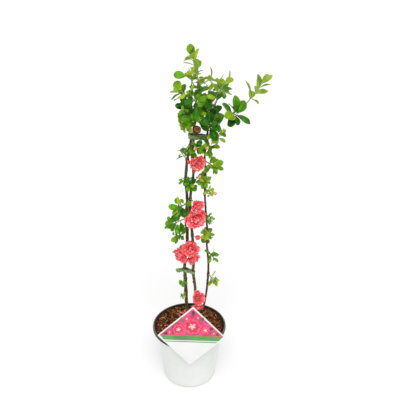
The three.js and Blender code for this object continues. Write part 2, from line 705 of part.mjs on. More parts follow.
function potGeometry() {
  const lipInside = RIM_RADIUS - WALL
  const lipFoot = POT_HEIGHT - LIP_DEPTH
  const underFlange = POT_HEIGHT - FLANGE_THICKNESS
  const profile = [
    [0, 0], [FLAT_RADIUS, 0], [FLAT_RADIUS + FOOT_ROUND, 0.2 * WALL_FOOT_HEIGHT],
    [WALL_FOOT_RADIUS - 0.6, 0.58 * WALL_FOOT_HEIGHT],
    [WALL_FOOT_RADIUS, WALL_FOOT_HEIGHT], [wallRadius(NECK_HEIGHT), NECK_HEIGHT],
    [MOUTH_RADIUS + WALL, NECK_HEIGHT + NECK_RISE], [MOUTH_RADIUS + WALL, underFlange],
    [lipInside, underFlange], [lipInside, lipFoot], [RIM_RADIUS, lipFoot],
    [RIM_RADIUS, POT_HEIGHT - LIP_ROUND], [RIM_RADIUS - LIP_ROUND, POT_HEIGHT],
    [MOUTH_RADIUS + LIP_ROUND, POT_HEIGHT], [MOUTH_RADIUS, POT_HEIGHT - LIP_ROUND],
    [MOUTH_RADIUS, NECK_HEIGHT + NECK_RISE + WALL / 2],
    [wallRadius(NECK_HEIGHT) - WALL, NECK_HEIGHT + WALL / 2],
    [wallRadius(WALL_FOOT_HEIGHT) - WALL, WALL_FOOT_HEIGHT], [FLAT_RADIUS + 2, FLOOR + 1.4],
    [FLAT_RADIUS - 2, FLOOR], [0, FLOOR],
  ]
  return geometryOf(solid(lathe(profile, POT_SIDES)))
}

// Growing mix: fills the pot, its top rough with chips except where the stems stand
function chipHeight(x, y) {
  const wave = (2 * Math.PI) / CHIP_SPACING
  const coarse = Math.sin(x * wave * 0.45 + 1.3) * Math.sin(y * wave * 0.4 + 0.4)
  const fine = Math.sin((x + y) * wave * 0.83 + 2.1) * Math.sin((x - y) * wave * 0.77)
  return CHIP_HEIGHT * 0.5 * (coarse + fine)
}

function levelShare(x, y) {
  const feet = LIMBS.filter((limb) => limb.points && !limb.follows).map((limb) => limb.points[0])
  const nearest = Math.min(...feet.map(([footX, footY]) => Math.hypot(x - footX, y - footY)))
  return Math.min(Math.max((nearest - LEVEL_MARGIN) / LEVEL_MARGIN, 0), 1)
}

function soilGeometry() {
  const inside = (z) => wallRadius(z) - WALL - GAP
  const profile = [
    [0, FLOOR + GAP], [FLAT_RADIUS - 3, FLOOR + GAP], [FLAT_RADIUS + 1, FLOOR + 2],
    [inside(WALL_FOOT_HEIGHT + 2), WALL_FOOT_HEIGHT + 2], [inside(NECK_HEIGHT), NECK_HEIGHT + 1.2],
    [MOUTH_RADIUS - 2 * WALL, SOIL_TOP - 0.2],
  ]
  for (const radius of SOIL_RINGS) profile.push([radius, SOIL_TOP])
  const geometry = lathe(profile, POT_SIDES)
  const position = geometry.getAttribute('position')
  for (let i = 0; i < position.count; i++) {
    const [x, y, z] = [position.getX(i), position.getY(i), position.getZ(i)]
    const isTop = Math.abs(z - SOIL_TOP) < 0.01 && Math.hypot(x, y) > 1
    if (isTop) position.setZ(i, z + levelShare(x, y) * chipHeight(x, y))
  }
  return geometryOf(solid(geometry))
}

// Label card, with a hook that laps over the flange and down inside the rim
function cardGeometry() {
  const half = CARD_SIDE / 2
  const corner = CARD_CORNER
  const outline = new THREE.Shape()
  outline.moveTo(-half + corner, -half)
  outline.lineTo(half - corner, -half)
  outline.absarc(half - corner, -half + corner, corner, -Math.PI / 2, 0)
  outline.absarc(half - corner, half - corner, corner, 0, Math.PI / 2)
  outline.absarc(-half + corner, half - corner, corner, Math.PI / 2, Math.PI)
  outline.absarc(-half + corner, -half + corner, corner, Math.PI, 1.5 * Math.PI)
  const hole = new THREE.Path()
  const holeCentre = half - CARD_HOLE_DROP / Math.SQRT2
  hole.absarc(holeCentre, holeCentre, CARD_HOLE_RADIUS, 0, 2 * Math.PI, true)
  outline.holes.push(hole)
  const plate = new THREE.ExtrudeGeometry(outline, {
    depth: CARD_THICKNESS, bevelEnabled: false, curveSegments: 3,
  })
  plate.rotateZ(Math.PI / 4 - radians(CARD_ROLL))
  plate.rotateX(Math.PI / 2)
  plate.translate(0, 0, CARD_RISE)
  plate.rotateX(-radians(CARD_LEAN))
  const back = -(RIM_RADIUS + GAP)
  plate.translate(CARD_CENTRE_X, back, POT_HEIGHT + GAP)

  const widest = HOOK_WIDTH / 2 + CARD_CENTRE_X
  const clearOfWall = Math.sqrt(MOUTH_RADIUS ** 2 - widest ** 2) - 2 * GAP
  const lapStart = back - CARD_THICKNESS / 2
  const lapEnd = -clearOfWall + HOOK_THICKNESS
  const lap = new THREE.BoxGeometry(HOOK_WIDTH, lapEnd - lapStart, HOOK_THICKNESS)
  lap.translate(CARD_CENTRE_X, (lapStart + lapEnd) / 2, POT_HEIGHT + GAP + HOOK_THICKNESS / 2)
  const leg = new THREE.BoxGeometry(HOOK_WIDTH, HOOK_THICKNESS, HOOK_DROP + HOOK_THICKNESS)
  const legMiddle = POT_HEIGHT + GAP + HOOK_THICKNESS - (HOOK_DROP + HOOK_THICKNESS) / 2
  leg.translate(CARD_CENTRE_X, lapEnd - HOOK_THICKNESS / 2, legMiddle)
  return geometryOf(joined([solid(plate), solid(lap), solid(leg)]))
}

// A band of tape round two groups of stems, as a belt round two wheels
function beltOutline(Kind, length, leftRadius, rightRadius) {
  const meet = Math.acos((leftRadius - rightRadius) / length)
  const outline = new Kind()
  outline.absarc(0, 0, leftRadius, meet, 2 * Math.PI - meet)
  outline.absarc(length, 0, rightRadius, -meet, meet)
  outline.closePath()
  return outline
}

function beltGeometry(left, right, leftRadius, rightRadius, width) {
  const length = Math.hypot(right.x - left.x, right.y - left.y)
  const leftOuter = leftRadius + TAPE_THICKNESS
  const shape = beltOutline(THREE.Shape, length, leftOuter, rightRadius + TAPE_THICKNESS)
  shape.holes.push(beltOutline(THREE.Path, length, leftRadius, rightRadius))
  const band = new THREE.ExtrudeGeometry(shape, { depth: width, bevelEnabled: false, curveSegments: 6 })
  band.translate(0, 0, -width / 2)
  return band
}

function stemAt(name, height) {
  const limb = limbs.get(name)
  const t = placeAtHeight(limb, height)
  return { centre: limb.curve.getPoint(t), radius: limb.radiusAt(t) }
}

// Keeps foliage out of the room that a tie takes round each end of its loop
function takeTie(name, centre, radius, height, width) {
  const low = new THREE.Vector3(centre.x, centre.y, height - width / 2)
  const high = new THREE.Vector3(centre.x, centre.y, height + width / 2)
  take(tubePoints(new THREE.LineCurve3(low, high), () => radius + TAPE_THICKNESS, 12), name)
}

function lowerTieGeometry() {
  const { height, width, tail } = LOWER_TIE
  const left = stemAt('stem_left', height)
  const right = stemAt('stem_middle', height)
  const leftRadius = left.radius + TAPE_SLACK
  const rightRadius = right.radius + TAPE_SLACK
  takeTie('tie_lower', left.centre, leftRadius, height, width)
  takeTie('tie_lower', right.centre, rightRadius, height, width)
  const belt = beltGeometry(left.centre, right.centre, leftRadius, rightRadius, width)
  const heading = Math.atan2(right.centre.y - left.centre.y, right.centre.x - left.centre.x)
  belt.rotateZ(heading)
  belt.translate(left.centre.x, left.centre.y, height)
  const knot = left.centre.clone()
  knot.x -= leftRadius + TAPE_THICKNESS / 2
  knot.z = height
  const end = new THREE.Vector3(knot.x - tail, knot.y - LOWER_TIE.forward, height)
  const hump = new THREE.Vector3(knot.x - tail / 3, knot.y - LOWER_TIE.forward, height + LOWER_TIE.hump)
  const run = new THREE.QuadraticBezierCurve3(knot, hump, end)
  const strip = new THREE.Shape()
  strip.moveTo(-width / 2, -TAPE_THICKNESS / 2)
  strip.lineTo(width / 2, -TAPE_THICKNESS / 2)
  strip.lineTo(width / 2, TAPE_THICKNESS / 2)
  strip.lineTo(-width / 2, TAPE_THICKNESS / 2)
  strip.closePath()
  const loose = new THREE.ExtrudeGeometry(strip, { steps: 6, extrudePath: run })
  return geometryOf(biggestBody(joined([solid(belt), solid(loose)])))
}

function upperTieGeometry() {
  const { height, width, slope, lift } = UPPER_TIE
  const one = stemAt('stem_left', height)
  const two = stemAt('stem_middle', height)
  const right = stemAt('stem_right', height)
  const middle = one.centre.clone().lerp(two.centre, 0.5)
  const leftRadius = one.centre.distanceTo(two.centre) / 2 + one.radius + TAPE_SLACK
  const rightRadius = right.radius + TAPE_SLACK
  takeTie('tie_upper', middle, leftRadius, height, width)
  takeTie('tie_upper', right.centre, rightRadius, height, width)
  const belt = beltGeometry(middle, right.centre, leftRadius, rightRadius, width)
  belt.rotateY(radians(-slope))
  belt.rotateZ(Math.atan2(right.centre.y - middle.y, right.centre.x - middle.x))
  belt.translate(middle.x, middle.y, height + lift)
  return geometryOf(solid(belt))
}

// Assembly: one named mesh for each sub-part
const quince = new THREE.Group()

function addPart(name, geometry, color, roughness = 0.6) {
  const material = new THREE.MeshStandardMaterial({ color, roughness, metalness: 0, flatShading: true })
  const mesh = new THREE.Mesh(geometry, material)
  mesh.name = name
  quince.add(mesh)
}

addPart('pot', potGeometry(), '#e2e4e0', 0.45)
addPart('soil', soilGeometry(), '#4a3220', 0.95)
addPart('label_card', cardGeometry(), '#d6506e', 0.4)
for (const spec of LIMBS) {
  const limb = growLimb(spec)
  addPart(limb.name, geometryOf(solid(tube(limb.curve, limb.radiusAt, limb.sides, limb.steps))), '#5b3d26')
}
addPart('tie_lower', lowerTieGeometry(), '#5f9468', 0.7)
addPart('tie_upper', upperTieGeometry(), '#6f9a63', 0.7)

const stems = MASSES.map(massStem)
MASSES.forEach((mass, i) => take(tubePoints(stems[i].curve, stems[i].radiusAt, 3), mass.name))
MASSES.forEach((mass, i) => addPart(mass.name, growMass(mass, stems[i]), mass.tint, 0.5))

export default quince
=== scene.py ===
# The look of a flowering quince in its nursery pot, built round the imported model.
# Lengths are millimetres until a mesh is made, in the model's own frame: +Z up, +X to the right
# seen from the front, with the origin at the centre of the pot's underside.
import math
from collections import namedtuple

import bpy
import numpy as np
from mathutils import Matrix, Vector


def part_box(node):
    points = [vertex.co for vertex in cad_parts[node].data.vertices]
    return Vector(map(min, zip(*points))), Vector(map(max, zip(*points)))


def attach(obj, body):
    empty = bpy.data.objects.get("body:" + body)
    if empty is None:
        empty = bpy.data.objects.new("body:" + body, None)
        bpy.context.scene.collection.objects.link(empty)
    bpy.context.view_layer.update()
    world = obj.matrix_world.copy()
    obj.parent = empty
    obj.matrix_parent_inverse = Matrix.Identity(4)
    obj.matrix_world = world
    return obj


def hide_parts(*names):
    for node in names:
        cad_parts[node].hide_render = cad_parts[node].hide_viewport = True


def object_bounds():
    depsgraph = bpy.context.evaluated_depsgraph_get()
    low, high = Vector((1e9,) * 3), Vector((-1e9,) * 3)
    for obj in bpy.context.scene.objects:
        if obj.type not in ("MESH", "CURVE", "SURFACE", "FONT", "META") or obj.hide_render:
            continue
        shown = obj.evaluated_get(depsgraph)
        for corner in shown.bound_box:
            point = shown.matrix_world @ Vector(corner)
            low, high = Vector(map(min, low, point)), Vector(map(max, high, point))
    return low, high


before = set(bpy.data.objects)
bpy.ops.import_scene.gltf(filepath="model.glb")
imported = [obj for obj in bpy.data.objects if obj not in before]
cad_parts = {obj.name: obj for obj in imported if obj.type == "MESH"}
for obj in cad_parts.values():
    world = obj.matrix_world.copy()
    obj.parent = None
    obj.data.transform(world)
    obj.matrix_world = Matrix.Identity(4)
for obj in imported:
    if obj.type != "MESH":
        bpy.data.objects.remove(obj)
cad_low, cad_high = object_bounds()

MM = 0.001
TURN = 2 * math.pi

# Camera, at the photograph's angle
CAMERA_PLACE = (0, -1300, 1160.34)
CAMERA_PITCH = 26.3195
CAMERA_YAW = 1.2367
CAMERA_LENS = 55.38
CAMERA_SENSOR = 36
CAMERA_CLIP = (0.01, 200)

# Light, and the plain floor
WORLD_STRENGTH = 0.82
KEY_ENERGY = 1.25
KEY_BREADTH = 34
KEY_PITCH = 38
KEY_HEADING = 2
FLOOR_REACH = 60
FLOOR_WHITE = (0.93, 0.93, 0.93, 1)
FLOOR_ROUGHNESS = 0.9

# Clearance between neighbours, and how finely the space that foliage fills is mapped
GAP = 0.3
CELL = 2.2
SAMPLE = 1.3
MAP_OFFSET = 900.1
MAP_SPAN = 2048
HALVINGS = 40

# Seeds of what is drawn at random, apart from the masses' own
FINE_SEED = 500
CHIP_SEED = 41
PICTURE_SEED = 57
TIE_SEED = 91
LEAF_SEED = 100
FLOWER_SEED = 300
BUD_SEED = 400
BARK_SEED = 700

# Pot and growing mix
RIM_RADIUS = 95
POT_HEIGHT = 155
MOUTH_RADIUS = 89.5
NECK_HEIGHT = 146
NECK_RISE = 5
FLANGE_THICKNESS = 2.4
LIP_DEPTH = 6.5
WALL = 1.8
FLOOR = 2.4
WALL_FOOT_RADIUS = 68.5
WALL_FOOT_HEIGHT = 8
WALL_TOP_RADIUS = 85
FLAT_RADIUS = 62
SOIL_TOP = 151

# Label card, a square on its corner that leans back over the rim, with a hook behind it
CARD_SIDE = 118.5
CARD_CENTRE_X = 5.2
CARD_RISE = 34.3
CARD_ROLL = math.radians(3.2)
CARD_LEAN = math.radians(5)
CARD_CORNER = 2
CARD_HOLE_RADIUS = 2.6
CARD_HOLE_DROP = 11
HOOK_WIDTH = 24
HOOK_THICKNESS = 1.2
HOOK_DROP = 2.4

# Ties of soft green tape
TAPE_THICKNESS = 0.8
TAPE_SLACK = 0.8
LOWER_TIE_HEIGHT = 314
LOWER_TIE_WIDTH = 8
LOWER_TIE_TAIL = 16
LOWER_TIE_HUMP = 6
LOWER_TIE_FORWARD = 4
UPPER_TIE_HEIGHT = 672
UPPER_TIE_WIDTH = 11
UPPER_TIE_SLOPE = 6
UPPER_TIE_LIFT = 2

# Shoots and leaves
TWIG_FOOT = 1.6
TWIG_TIP = 1.1
TWIG_STEP = 4
STALK_FOOT = 1.8
STALK_TIP = 1.4
ARCH = 0.36
FIRST_LEAF = 0.35
FIRST_LEAF_BY_BLOOM = 0.25
GOLDEN_ANGLE = 137.5
WIDE_SPREAD = 74
CLOSE_SPREAD = 24
SPREAD_JITTER = 12
TURN_JITTER = 16
LENGTH_JITTER = 0.15
WIDTH_JITTER = 0.1
LEAF_LIFT = 0.14
ROUND_LEAF = 0.66
SLIM_LEAF = 0.36
TIP_LEAF = 0.8
FACE_TIP = 0.5
FACE_SKY = 0.55
FACE_OUT = 0.4
CROWN_MIDDLE_X = 20

# Side twigs
BRANCH_LEAVES = 3
BRANCH_FIRST_LEAF = 0.5
BRANCH_PLACE = (0.4, 0.65)
BRANCH_LENGTH = 0.5
BRANCH_SPREAD = 52
BRANCH_TURN = 160
BRANCH_JITTER = 20
BRANCH_RISE = 0.2
BRANCH_FOOT = 1.3

# Finer twigs, which carry each mass on within the room that it has
FINE_TWIGS = 4
FINE_PLACE = (0.3, 0.95)
FINE_LENGTH = 0.45
FINE_SHORTEST = 9
FINE_LENGTH_SHARES = (0.7, 1.1)
FINE_FOOT = 0.8
FINE_TIP = 0.5
FINE_TURN = 60
FINE_SPREAD_JITTER = 15
FINE_LEAVES = 3
FINE_FIRST_LEAF = 0.4
FINE_LEAF_TURN = 50
FINE_CLOSE = 40
FINE_SIZE = 0.68
FINE_YOUNG = 0.4
FINE_MARGIN = 3
FINE_START = 8
LEAF_CROWDING = 0.1
TWIG_CROWDING = 0.05

# Places that stay open from the front, each with a radius: the cut face and the upper tie
OPEN_VIEWS = [((22, -13, 698), 8), ((14, -8, 672), 7), ((34, -6, 673), 7)]
VIEW_MARGIN = 5
VIEW_LINE = (0, -0.9, 0.44)
BLADE_MIDDLE = 0.55

# The room that a flower and its heart take, as shares of the flower's width
FLOWER_MIDDLE = 0.15
FLOWER_ROOM = 0.52
HEART_ROOM = 0.35

# Flowers, as shares of the flower's width
PETAL_WIDTH = 0.95
PETAL_START = 0.09
PETAL_TILT_JITTER = 7
PETAL_LENGTH_JITTER = 0.06
CLUSTER_OFFSET = 0.36
CLUSTER_TURN_OUT = 0.8
BLOOM_STALK_START = 0.6

# Half widths along a leaf and a petal, as shares of half the full width
LEAF_OUTLINE = [(0, 0.03), (0.15, 0.08), (0.5, 0.92), (0.78, 0.8), (1, 0)]
SMALL_OUTLINE = [(0, 0.05), (0.58, 0.95), (1, 0)]
SMALL_LEAF = 19
PETAL_OUTLINE = [(0, 0.2), (0.55, 1), (0.9, 0.7), (1, 0)]
PETAL_RINGS = [(5, 74, 0.46), (3, 34, 0.36)]

# Limbs: stems rise from the growing mix, and a bough follows a stem's tip or springs from a flank
STEM_FOOT = SOIL_TOP + GAP
FLARE = 0.45
FLARE_REACH = 0.05
UPRIGHT_FOOT = 12
FOLLOW_STEP = 2
Limb = namedtuple("Limb", "name foot tip points follows springs height reach", defaults=[None] * 5)
LIMBS = [
    Limb("stem_left", 4.5, 2.9, [
        (-3, 22, STEM_FOOT), (-6, 20, 192), (-9, 16, 288), (-10, 15, 331), (-3, 13, 401),
        (-5, 12, 471), (-2, 11, 512), (-5, 10, 560), (-2, 8, 609), (7, 6, 661), (12, 7, 684)]),
    Limb("stem_middle", 3.8, 2.8, [
        (8, 12, STEM_FOOT), (14, 8, 216), (16, 6, 262), (11, 4, 311), (12, 3, 344), (10, 2, 410),
        (5, 2, 484), (6, 2, 529), (13, 0, 589), (10, -1, 625), (12, -1, 650), (15, -3, 684)]),
    Limb("stem_right", 2.7, 2.1, [
        (30, 36, STEM_FOOT), (38, 34, 185), (46, 30, 241), (50, 26, 318), (45, 21, 390),
        (47, 20, 416), (42, 17, 482), (40, 14, 536), (41, 12, 584), (39, 10, 620), (42, 8, 660),
        (45, 7, 684)]),
    Limb("bough_top", 2.8, 1.4, follows="stem_left", points=[
        (16, 9, 702), (24, 8, 730), (28, 4, 752), (25, 1, 775), (24, 0, 800)]),
    Limb("bough_right", 2.1, 1.4, follows="stem_right", points=[
        (48, 6, 695), (60, 2, 709), (79, -4, 724), (96, -8, 730), (107, -10, 737)]),
    Limb("pruned_stub", 4.6, 8.6, follows="stem_middle", points=[(18, -7, 691), (22, -13, 698)]),
    Limb("bough_left", 1.9, 1.3, springs="bough_top", height=700, reach=(-5, -10, 774)),
    Limb("bough_back", 1.9, 1.3, springs="bough_top", height=714, reach=(10, 46, 776)),
    Limb("bough_back_right", 1.8, 1.3, springs="bough_right", height=700, reach=(72, 40, 762)),
]

# Masses of blossom and foliage, in the order in which they take their room
Mass = namedtuple(
    "Mass", "name springs height reach leaves size turn seed tint young close first bow branches "
    "blooms bloom scale kind sprays fills",
    defaults=[0, CLOSE_SPREAD, FIRST_LEAF, 0, 0, 0, 0, 1, None, FINE_TWIGS, ()])

# A mass's stem springs from a limb at a height and ends at reach. Then come the number of its leaves,
# their length, first turn, seed and tint, and its options: sprays counts its finer twigs, fills are
# twigs given one by one, as place along the stem, turn and length, and kind names its leaves' paints.
MASSES = [
    Mass("bloom_high", "stem_middle", 618, (21, -24, 622), 3, 22, 90, 11, "green", blooms=1, bloom=42,
         scale=0.95),
    Mass("bloom_upper", "stem_middle", 520, (19, -26, 515), 2, 20, 330, 12, "green", blooms=1, bloom=36),
    Mass("bloom_main", "stem_middle", 480, (15, -26, 482), 2, 22, 350, 313, "green", blooms=1, bloom=50),
    Mass("bloom_cluster", "stem_left", 388, (-2, -20, 384), 2, 22, 350, 214, "green", blooms=3, bloom=40,
         scale=1.08),
    Mass("bloom_foot", "stem_middle", 236, (21, -10, 234), 1, 16, 90, 315, "green", blooms=2, bloom=32,
         scale=1.2),
    Mass("bloom_back", "stem_left", 462, (16, 40, 452), 3, 24, 130, 116, "green", blooms=1, bloom=42),
    Mass("leaves_leader_left", "bough_top", 790, (2, -9, 815), 1, 44, 30, 22, "green", bow=10, sprays=0),
    Mass("leaves_leader", "bough_top", None, (14, 0, 852), 7, 35, 310, 21, "lime", young=0.2, sprays=1),
    Mass("leaves_left_high", "bough_left", None, (-14, -12, 787), 3, 30, 210, 123, "lime", sprays=1),
    Mass("leaves_arch", "bough_top", 796, (73, -3, 789), 8, 29, 190, 224, "lime", young=0.45, close=24,
         bow=34, sprays=2),
    Mass("leaves_upright", "bough_top", 748, (87, -14, 808), 7, 31, 0, 125, "lime", young=0.4, first=0.5,
         sprays=1),
    Mass("leaves_bough_node", "bough_right", 730, (104, -34, 738), 8, 42, 30, 26, "dark", first=0.7,
         close=40, kind="core", sprays=2),
    Mass("leaves_bough_tip", "bough_right", None, (162, -14, 802), 10, 38, 180, 327, "lime", young=0.45,
         first=0.45, sprays=1),
    Mass("leaves_front_low", "bough_top", 718, (9, -42, 734), 9, 29, 320, 31, "lime", close=55, branches=2,
         kind="core", sprays=8, fills=[(0.15, 210, 30), (0.3, 210, 30)]),
    Mass("leaves_right_big", "bough_right", 697, (50, -48, 722), 8, 38, 110, 133, "dark", first=0.5,
         close=40, sprays=8, fills=[(0.15, 60, 22), (0.45, 60, 14), (0.9, 330, 14), (0.15, 300, 14),
         (0.45, 0, 22)]),
    Mass("leaves_right_dark", "bough_right", 702, (46, -30, 752), 10, 35, 350, 232, "dark", branches=1,
         sprays=7, fills=[(0.15, 270, 14), (0.15, 240, 22), (0.15, 210, 14)]),
    Mass("leaves_front_high", "bough_top", 742, (16, -46, 776), 11, 30, 10, 28, "green", first=0.45,
         close=70, branches=2, kind="core", sprays=6),
    Mass("leaves_left_mid", "bough_left", 742, (-7, -30, 750), 9, 23, 180, 229, "green", close=40,
         branches=2, kind="core", sprays=6),
    Mass("leaves_low_left", "bough_left", 712, (-4, -24, 712), 8, 23, 100, 230, "lime", kind="pale",
         sprays=6),
    Mass("leaves_right_droop", "bough_right", 689, (72, -4, 678), 7, 32, 340, 334, "green", young=0.7,
         close=70, kind="pale"),
    Mass("leaves_back_high", "bough_back", None, (16, 62, 799), 8, 29, 330, 235, "lime", young=0.15,
         kind="pale"),
    Mass("leaves_back_mid", "bough_back", 748, (-18, 50, 763), 7, 32, 290, 36, "green", close=55,
         branches=1),
    Mass("leaves_back_low", "bough_top", 706, (0, 46, 716), 7, 26, 160, 237, "dark", close=40, sprays=8),
    Mass("leaves_back_right", "bough_back_right", None, (77, 54, 768), 8, 32, 230, 138, "green",
         young=0.05),
    Mass("leaves_back_side", "bough_back_right", 738, (50, 62, 738), 8, 28, 90, 339, "dark", close=40),
    Mass("leaves_back_top", "bough_top", 768, (30, 34, 795), 6, 28, 30, 340, "lime", young=0.3, close=70),
    Mass("leaves_under_right", "stem_right", 652, (54, -8, 654), 4, 27, 280, 341, "green", close=55,
         fills=[(0.15, 330, 22)]),
    Mass("leaves_under_front", "stem_middle", 652, (22, -26, 657), 6, 28, 70, 42, "dark", kind="core",
         sprays=6, fills=[(0.75, 210, 14), (0.75, 180, 22)]),
    Mass("leaves_under_left", "stem_left", 652, (-4, -4, 648), 5, 16, 20, 343, "green", sprays=0),
    Mass("leaves_round_right", "stem_right", 612, (62, -14, 607), 9, 27, 180, 44, "green", first=0.3,
         kind="fresh"),
    Mass("leaves_small_left", "stem_left", 570, (-11, 0, 567), 7, 15, 210, 245, "green", sprays=2),
    Mass("leaves_between", "stem_middle", 564, (3, -22, 568), 8, 19, 230, 246, "green", close=70,
         kind="core"),
    Mass("spur_right_high", "stem_right", 564, (38, -14, 570), 8, 18, 150, 247, "lime", close=70,
         kind="fresh"),
    Mass("spur_right_bud", "stem_right", 540, (52, -4, 540), 8, 16, 320, 48, "green", kind="pale"),
    Mass("leaves_left_upper", "stem_left", 503, (-23, -14, 504), 8, 32, 160, 349, "lime", branches=1,
         kind="sunny"),
    Mass("leaves_left_lower", "stem_left", 462, (-39, -10, 458), 9, 28, 240, 150, "green", kind="bright"),
    Mass("leaves_left_foot", "stem_left", 432, (-25, -12, 422), 9, 22, 10, 251, "green", close=24),
    Mass("spur_right_mid", "stem_right", 470, (51, 2, 461), 8, 17, 120, 52, "green", close=40),
    Mass("spur_right_low", "stem_right", 426, (38, -2, 421), 6, 18, 140, 53, "lime", close=24),
    Mass("spur_right_curl", "stem_right", 362, (60, 2, 359), 5, 22, 50, 354, "green", young=0.5),
    Mass("spur_right_spray", "stem_right", 292, (62, 8, 284), 8, 22, 140, 355, "lime", young=0.5,
         kind="pale"),
    Mass("spur_left_low", "stem_left", 286, (-17, 4, 281), 6, 13, 210, 356, "green"),
    Mass("spur_left_foot", "stem_left", 246, (-15, 6, 242), 5, 15, 30, 357, "lime"),
    Mass("leaves_back_column", "stem_left", 616, (-14, 34, 624), 6, 22, 60, 58, "green", close=70,
         sprays=1),
    Mass("leaves_back_middle", "stem_right", 556, (37, 44, 549), 7, 24, 80, 359, "green"),
    Mass("spur_back_low", "stem_right", 396, (50, 48, 397), 7, 23, 90, 60, "green", close=55),
]

# Flower buds: the limb and height that each springs from, where it sits, its width and its paint
BUDS = [
    ("stem_left", 618, (3, -24, 623), 11, "red"),
    ("stem_middle", 610, (15, -20, 600), 7, "coral"),
    ("stem_middle", 642, (17, -30, 657), 11, "peach"),
    ("stem_right", 640, (43, -20, 655), 11, "peach"),
    ("stem_middle", 572, (25, -14, 582), 10, "peach"),
    ("stem_right", 530, (61, -8, 536), 10, "peach"),
    ("stem_middle", 422, (20, -16, 424), 16, "coral"),
    ("stem_middle", 402, (14, -26, 412), 12, "coral"),
    ("stem_left", 446, (-24, -12, 452), 8, "russet"),
]

Blade = namedtuple("Blade", "foot direction normal length width outline", defaults=[None])
Bloom = namedtuple("Bloom", "centre facing size petals")
Shoot = namedtuple("Shoot", "curve radius_at")
Grown = namedtuple("Grown", "mass curve blooms blades twigs fine_blades fine_twigs")

# Numbers and vectors
UP = np.array([0.0, 0, 1])
BACK = np.array([0.0, 1, 0])
RIGHT = np.array([1.0, 0, 0])
WORD = 0xFFFFFFFF


def mix(a, b, t):
    return a + (b - a) * t


def unit(vector):
    return vector / np.linalg.norm(vector)


def square_to(along, vector):
    """A vector made square to a direction, and one long."""
    return unit(vector - along * (vector @ along))


def seeded(seed):
    """A small seeded generator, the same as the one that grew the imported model."""
    state = seed & WORD

    def draw():
        nonlocal state
        state = (state + 0x6D2B79F5) & WORD
        bits = ((state ^ (state >> 15)) * (state | 1)) & WORD
        bits = ((bits + (bits ^ (bits >> 7)) * (bits | 61)) & WORD) ^ bits
        return ((bits ^ (bits >> 14)) & WORD) / (WORD + 1)

    return draw


def jitter(random, amount):
    return (random() * 2 - 1) * amount


def sideways(along):
    """Two directions square to the given one and to each other."""
    reference = UP if abs(along[2]) < 0.9 else BACK
    across = unit(np.cross(along, reference))
    return across, np.cross(across, along)


def spoke(along, turn):
    """The direction square to the given one that lies at a turn round it."""
    across, over = sideways(along)
    return across * math.cos(turn) + over * math.sin(turn)


def petal_lean(facing, turn, lean):
    """Where a petal points that leans out from the way its flower faces, and where it looks."""
    radial = spoke(facing, turn)
    direction = facing * math.cos(lean) + radial * math.sin(lean)
    return direction, facing * math.sin(lean) - radial * math.cos(lean)


class Curve:
    """A curve from 0 to 1, given by the point at each place on it."""

    STEP = 0.0001
    DIVISIONS = 200

    def __init__(self, point):
        self.point = point

    def tangent(self, t):
        return unit(self.point(min(t + self.STEP, 1)) - self.point(max(t - self.STEP, 0)))

    def length(self):
        places = np.array([self.point(i / self.DIVISIONS) for i in range(self.DIVISIONS + 1)])
        return float(np.linalg.norm(np.diff(places, axis=0), axis=1).sum())


def spline(points):
    """A Catmull-Rom curve through the points."""
    points = np.array(points, float)
    ends = [2 * points[0] - points[1], *points, 2 * points[-1] - points[-2]]

    def point(t):
        place = (len(points) - 1) * t
        i = min(int(place), len(points) - 2)
        w = place - i
        a, b, c, d = ends[i:i + 4]
        slope_b, slope_c = 0.5 * (c - a), 0.5 * (d - b)
        squared = -3 * b + 3 * c - 2 * slope_b - slope_c
        cubed = 2 * b - 2 * c + slope_b + slope_c
        return b + slope_b * w + squared * w ** 2 + cubed * w ** 3

    return Curve(point)


def bezier(*corners):
    """A Bezier curve of any degree."""
    degree = len(corners) - 1
    shares = [math.comb(degree, i) for i in range(degree + 1)]

    def point(t):
        return sum(share * (1 - t) ** (degree - i) * t ** i * corner
                   for i, (share, corner) in enumerate(zip(shares, corners)))

    return Curve(point)


# The space map: which piece has taken each small cell
taken = {}
NEIGHBOURS = [
    (i * MAP_SPAN + j) * MAP_SPAN + k for i in (-1, 0, 1) for j in (-1, 0, 1) for k in (-1, 0, 1)]


def cells(points):
    x, y, z = np.floor((np.asarray(points) + MAP_OFFSET) / CELL).astype(int).T
    return ((x * MAP_SPAN + y) * MAP_SPAN + z).tolist()


def take(points, owner):
    for key in cells(points):
        taken.setdefault(key, owner)


def is_free(points, owner):
    near = {key + step for key in set(cells(points)) for step in NEIGHBOURS}
    return all(taken.get(key, owner) == owner for key in near)


def crowding(points, owner):
    """The share of the points that lie where something else does."""
    keys = cells(points)
    return sum(taken.get(key, owner) != owner for key in keys) / len(keys)


def tube_points(curve, radius_at, sides):
    points = []
    steps = math.ceil(curve.length() / SAMPLE)
    for i in range(steps + 1):
        t = i / steps
        centre = curve.point(t)
        points.append(centre)
        across, over = sideways(curve.tangent(t))
        for j in range(sides):
            turn = TURN * j / sides
            points.append(centre + (math.cos(turn) * across + math.sin(turn) * over) * radius_at(t))
    return points


def blade_points(blade):
    points = []
    side = np.cross(blade.normal, blade.direction)
    rows = math.ceil(blade.length / SAMPLE)
    for i in range(1, rows + 1):
        half = np.interp(i / rows, *zip(*blade.outline)) * blade.width / 2
        columns = math.ceil(half / SAMPLE)
        middle = blade.foot + blade.direction * (blade.length * i / rows)
        for j in range(-columns, columns + 1):
            points.append(middle + side * (half * j / columns if columns else 0))
    return points


# Limbs
limbs = {}


def is_standing(spec):
    return not spec.springs and not spec.follows


def place_at_height(curve, height):
    low, high = 0.0, 1.0
    for _ in range(HALVINGS):
        middle = (low + high) / 2
        if curve.point(middle)[2] < height:
            low = middle
        else:
            high = middle
    return low


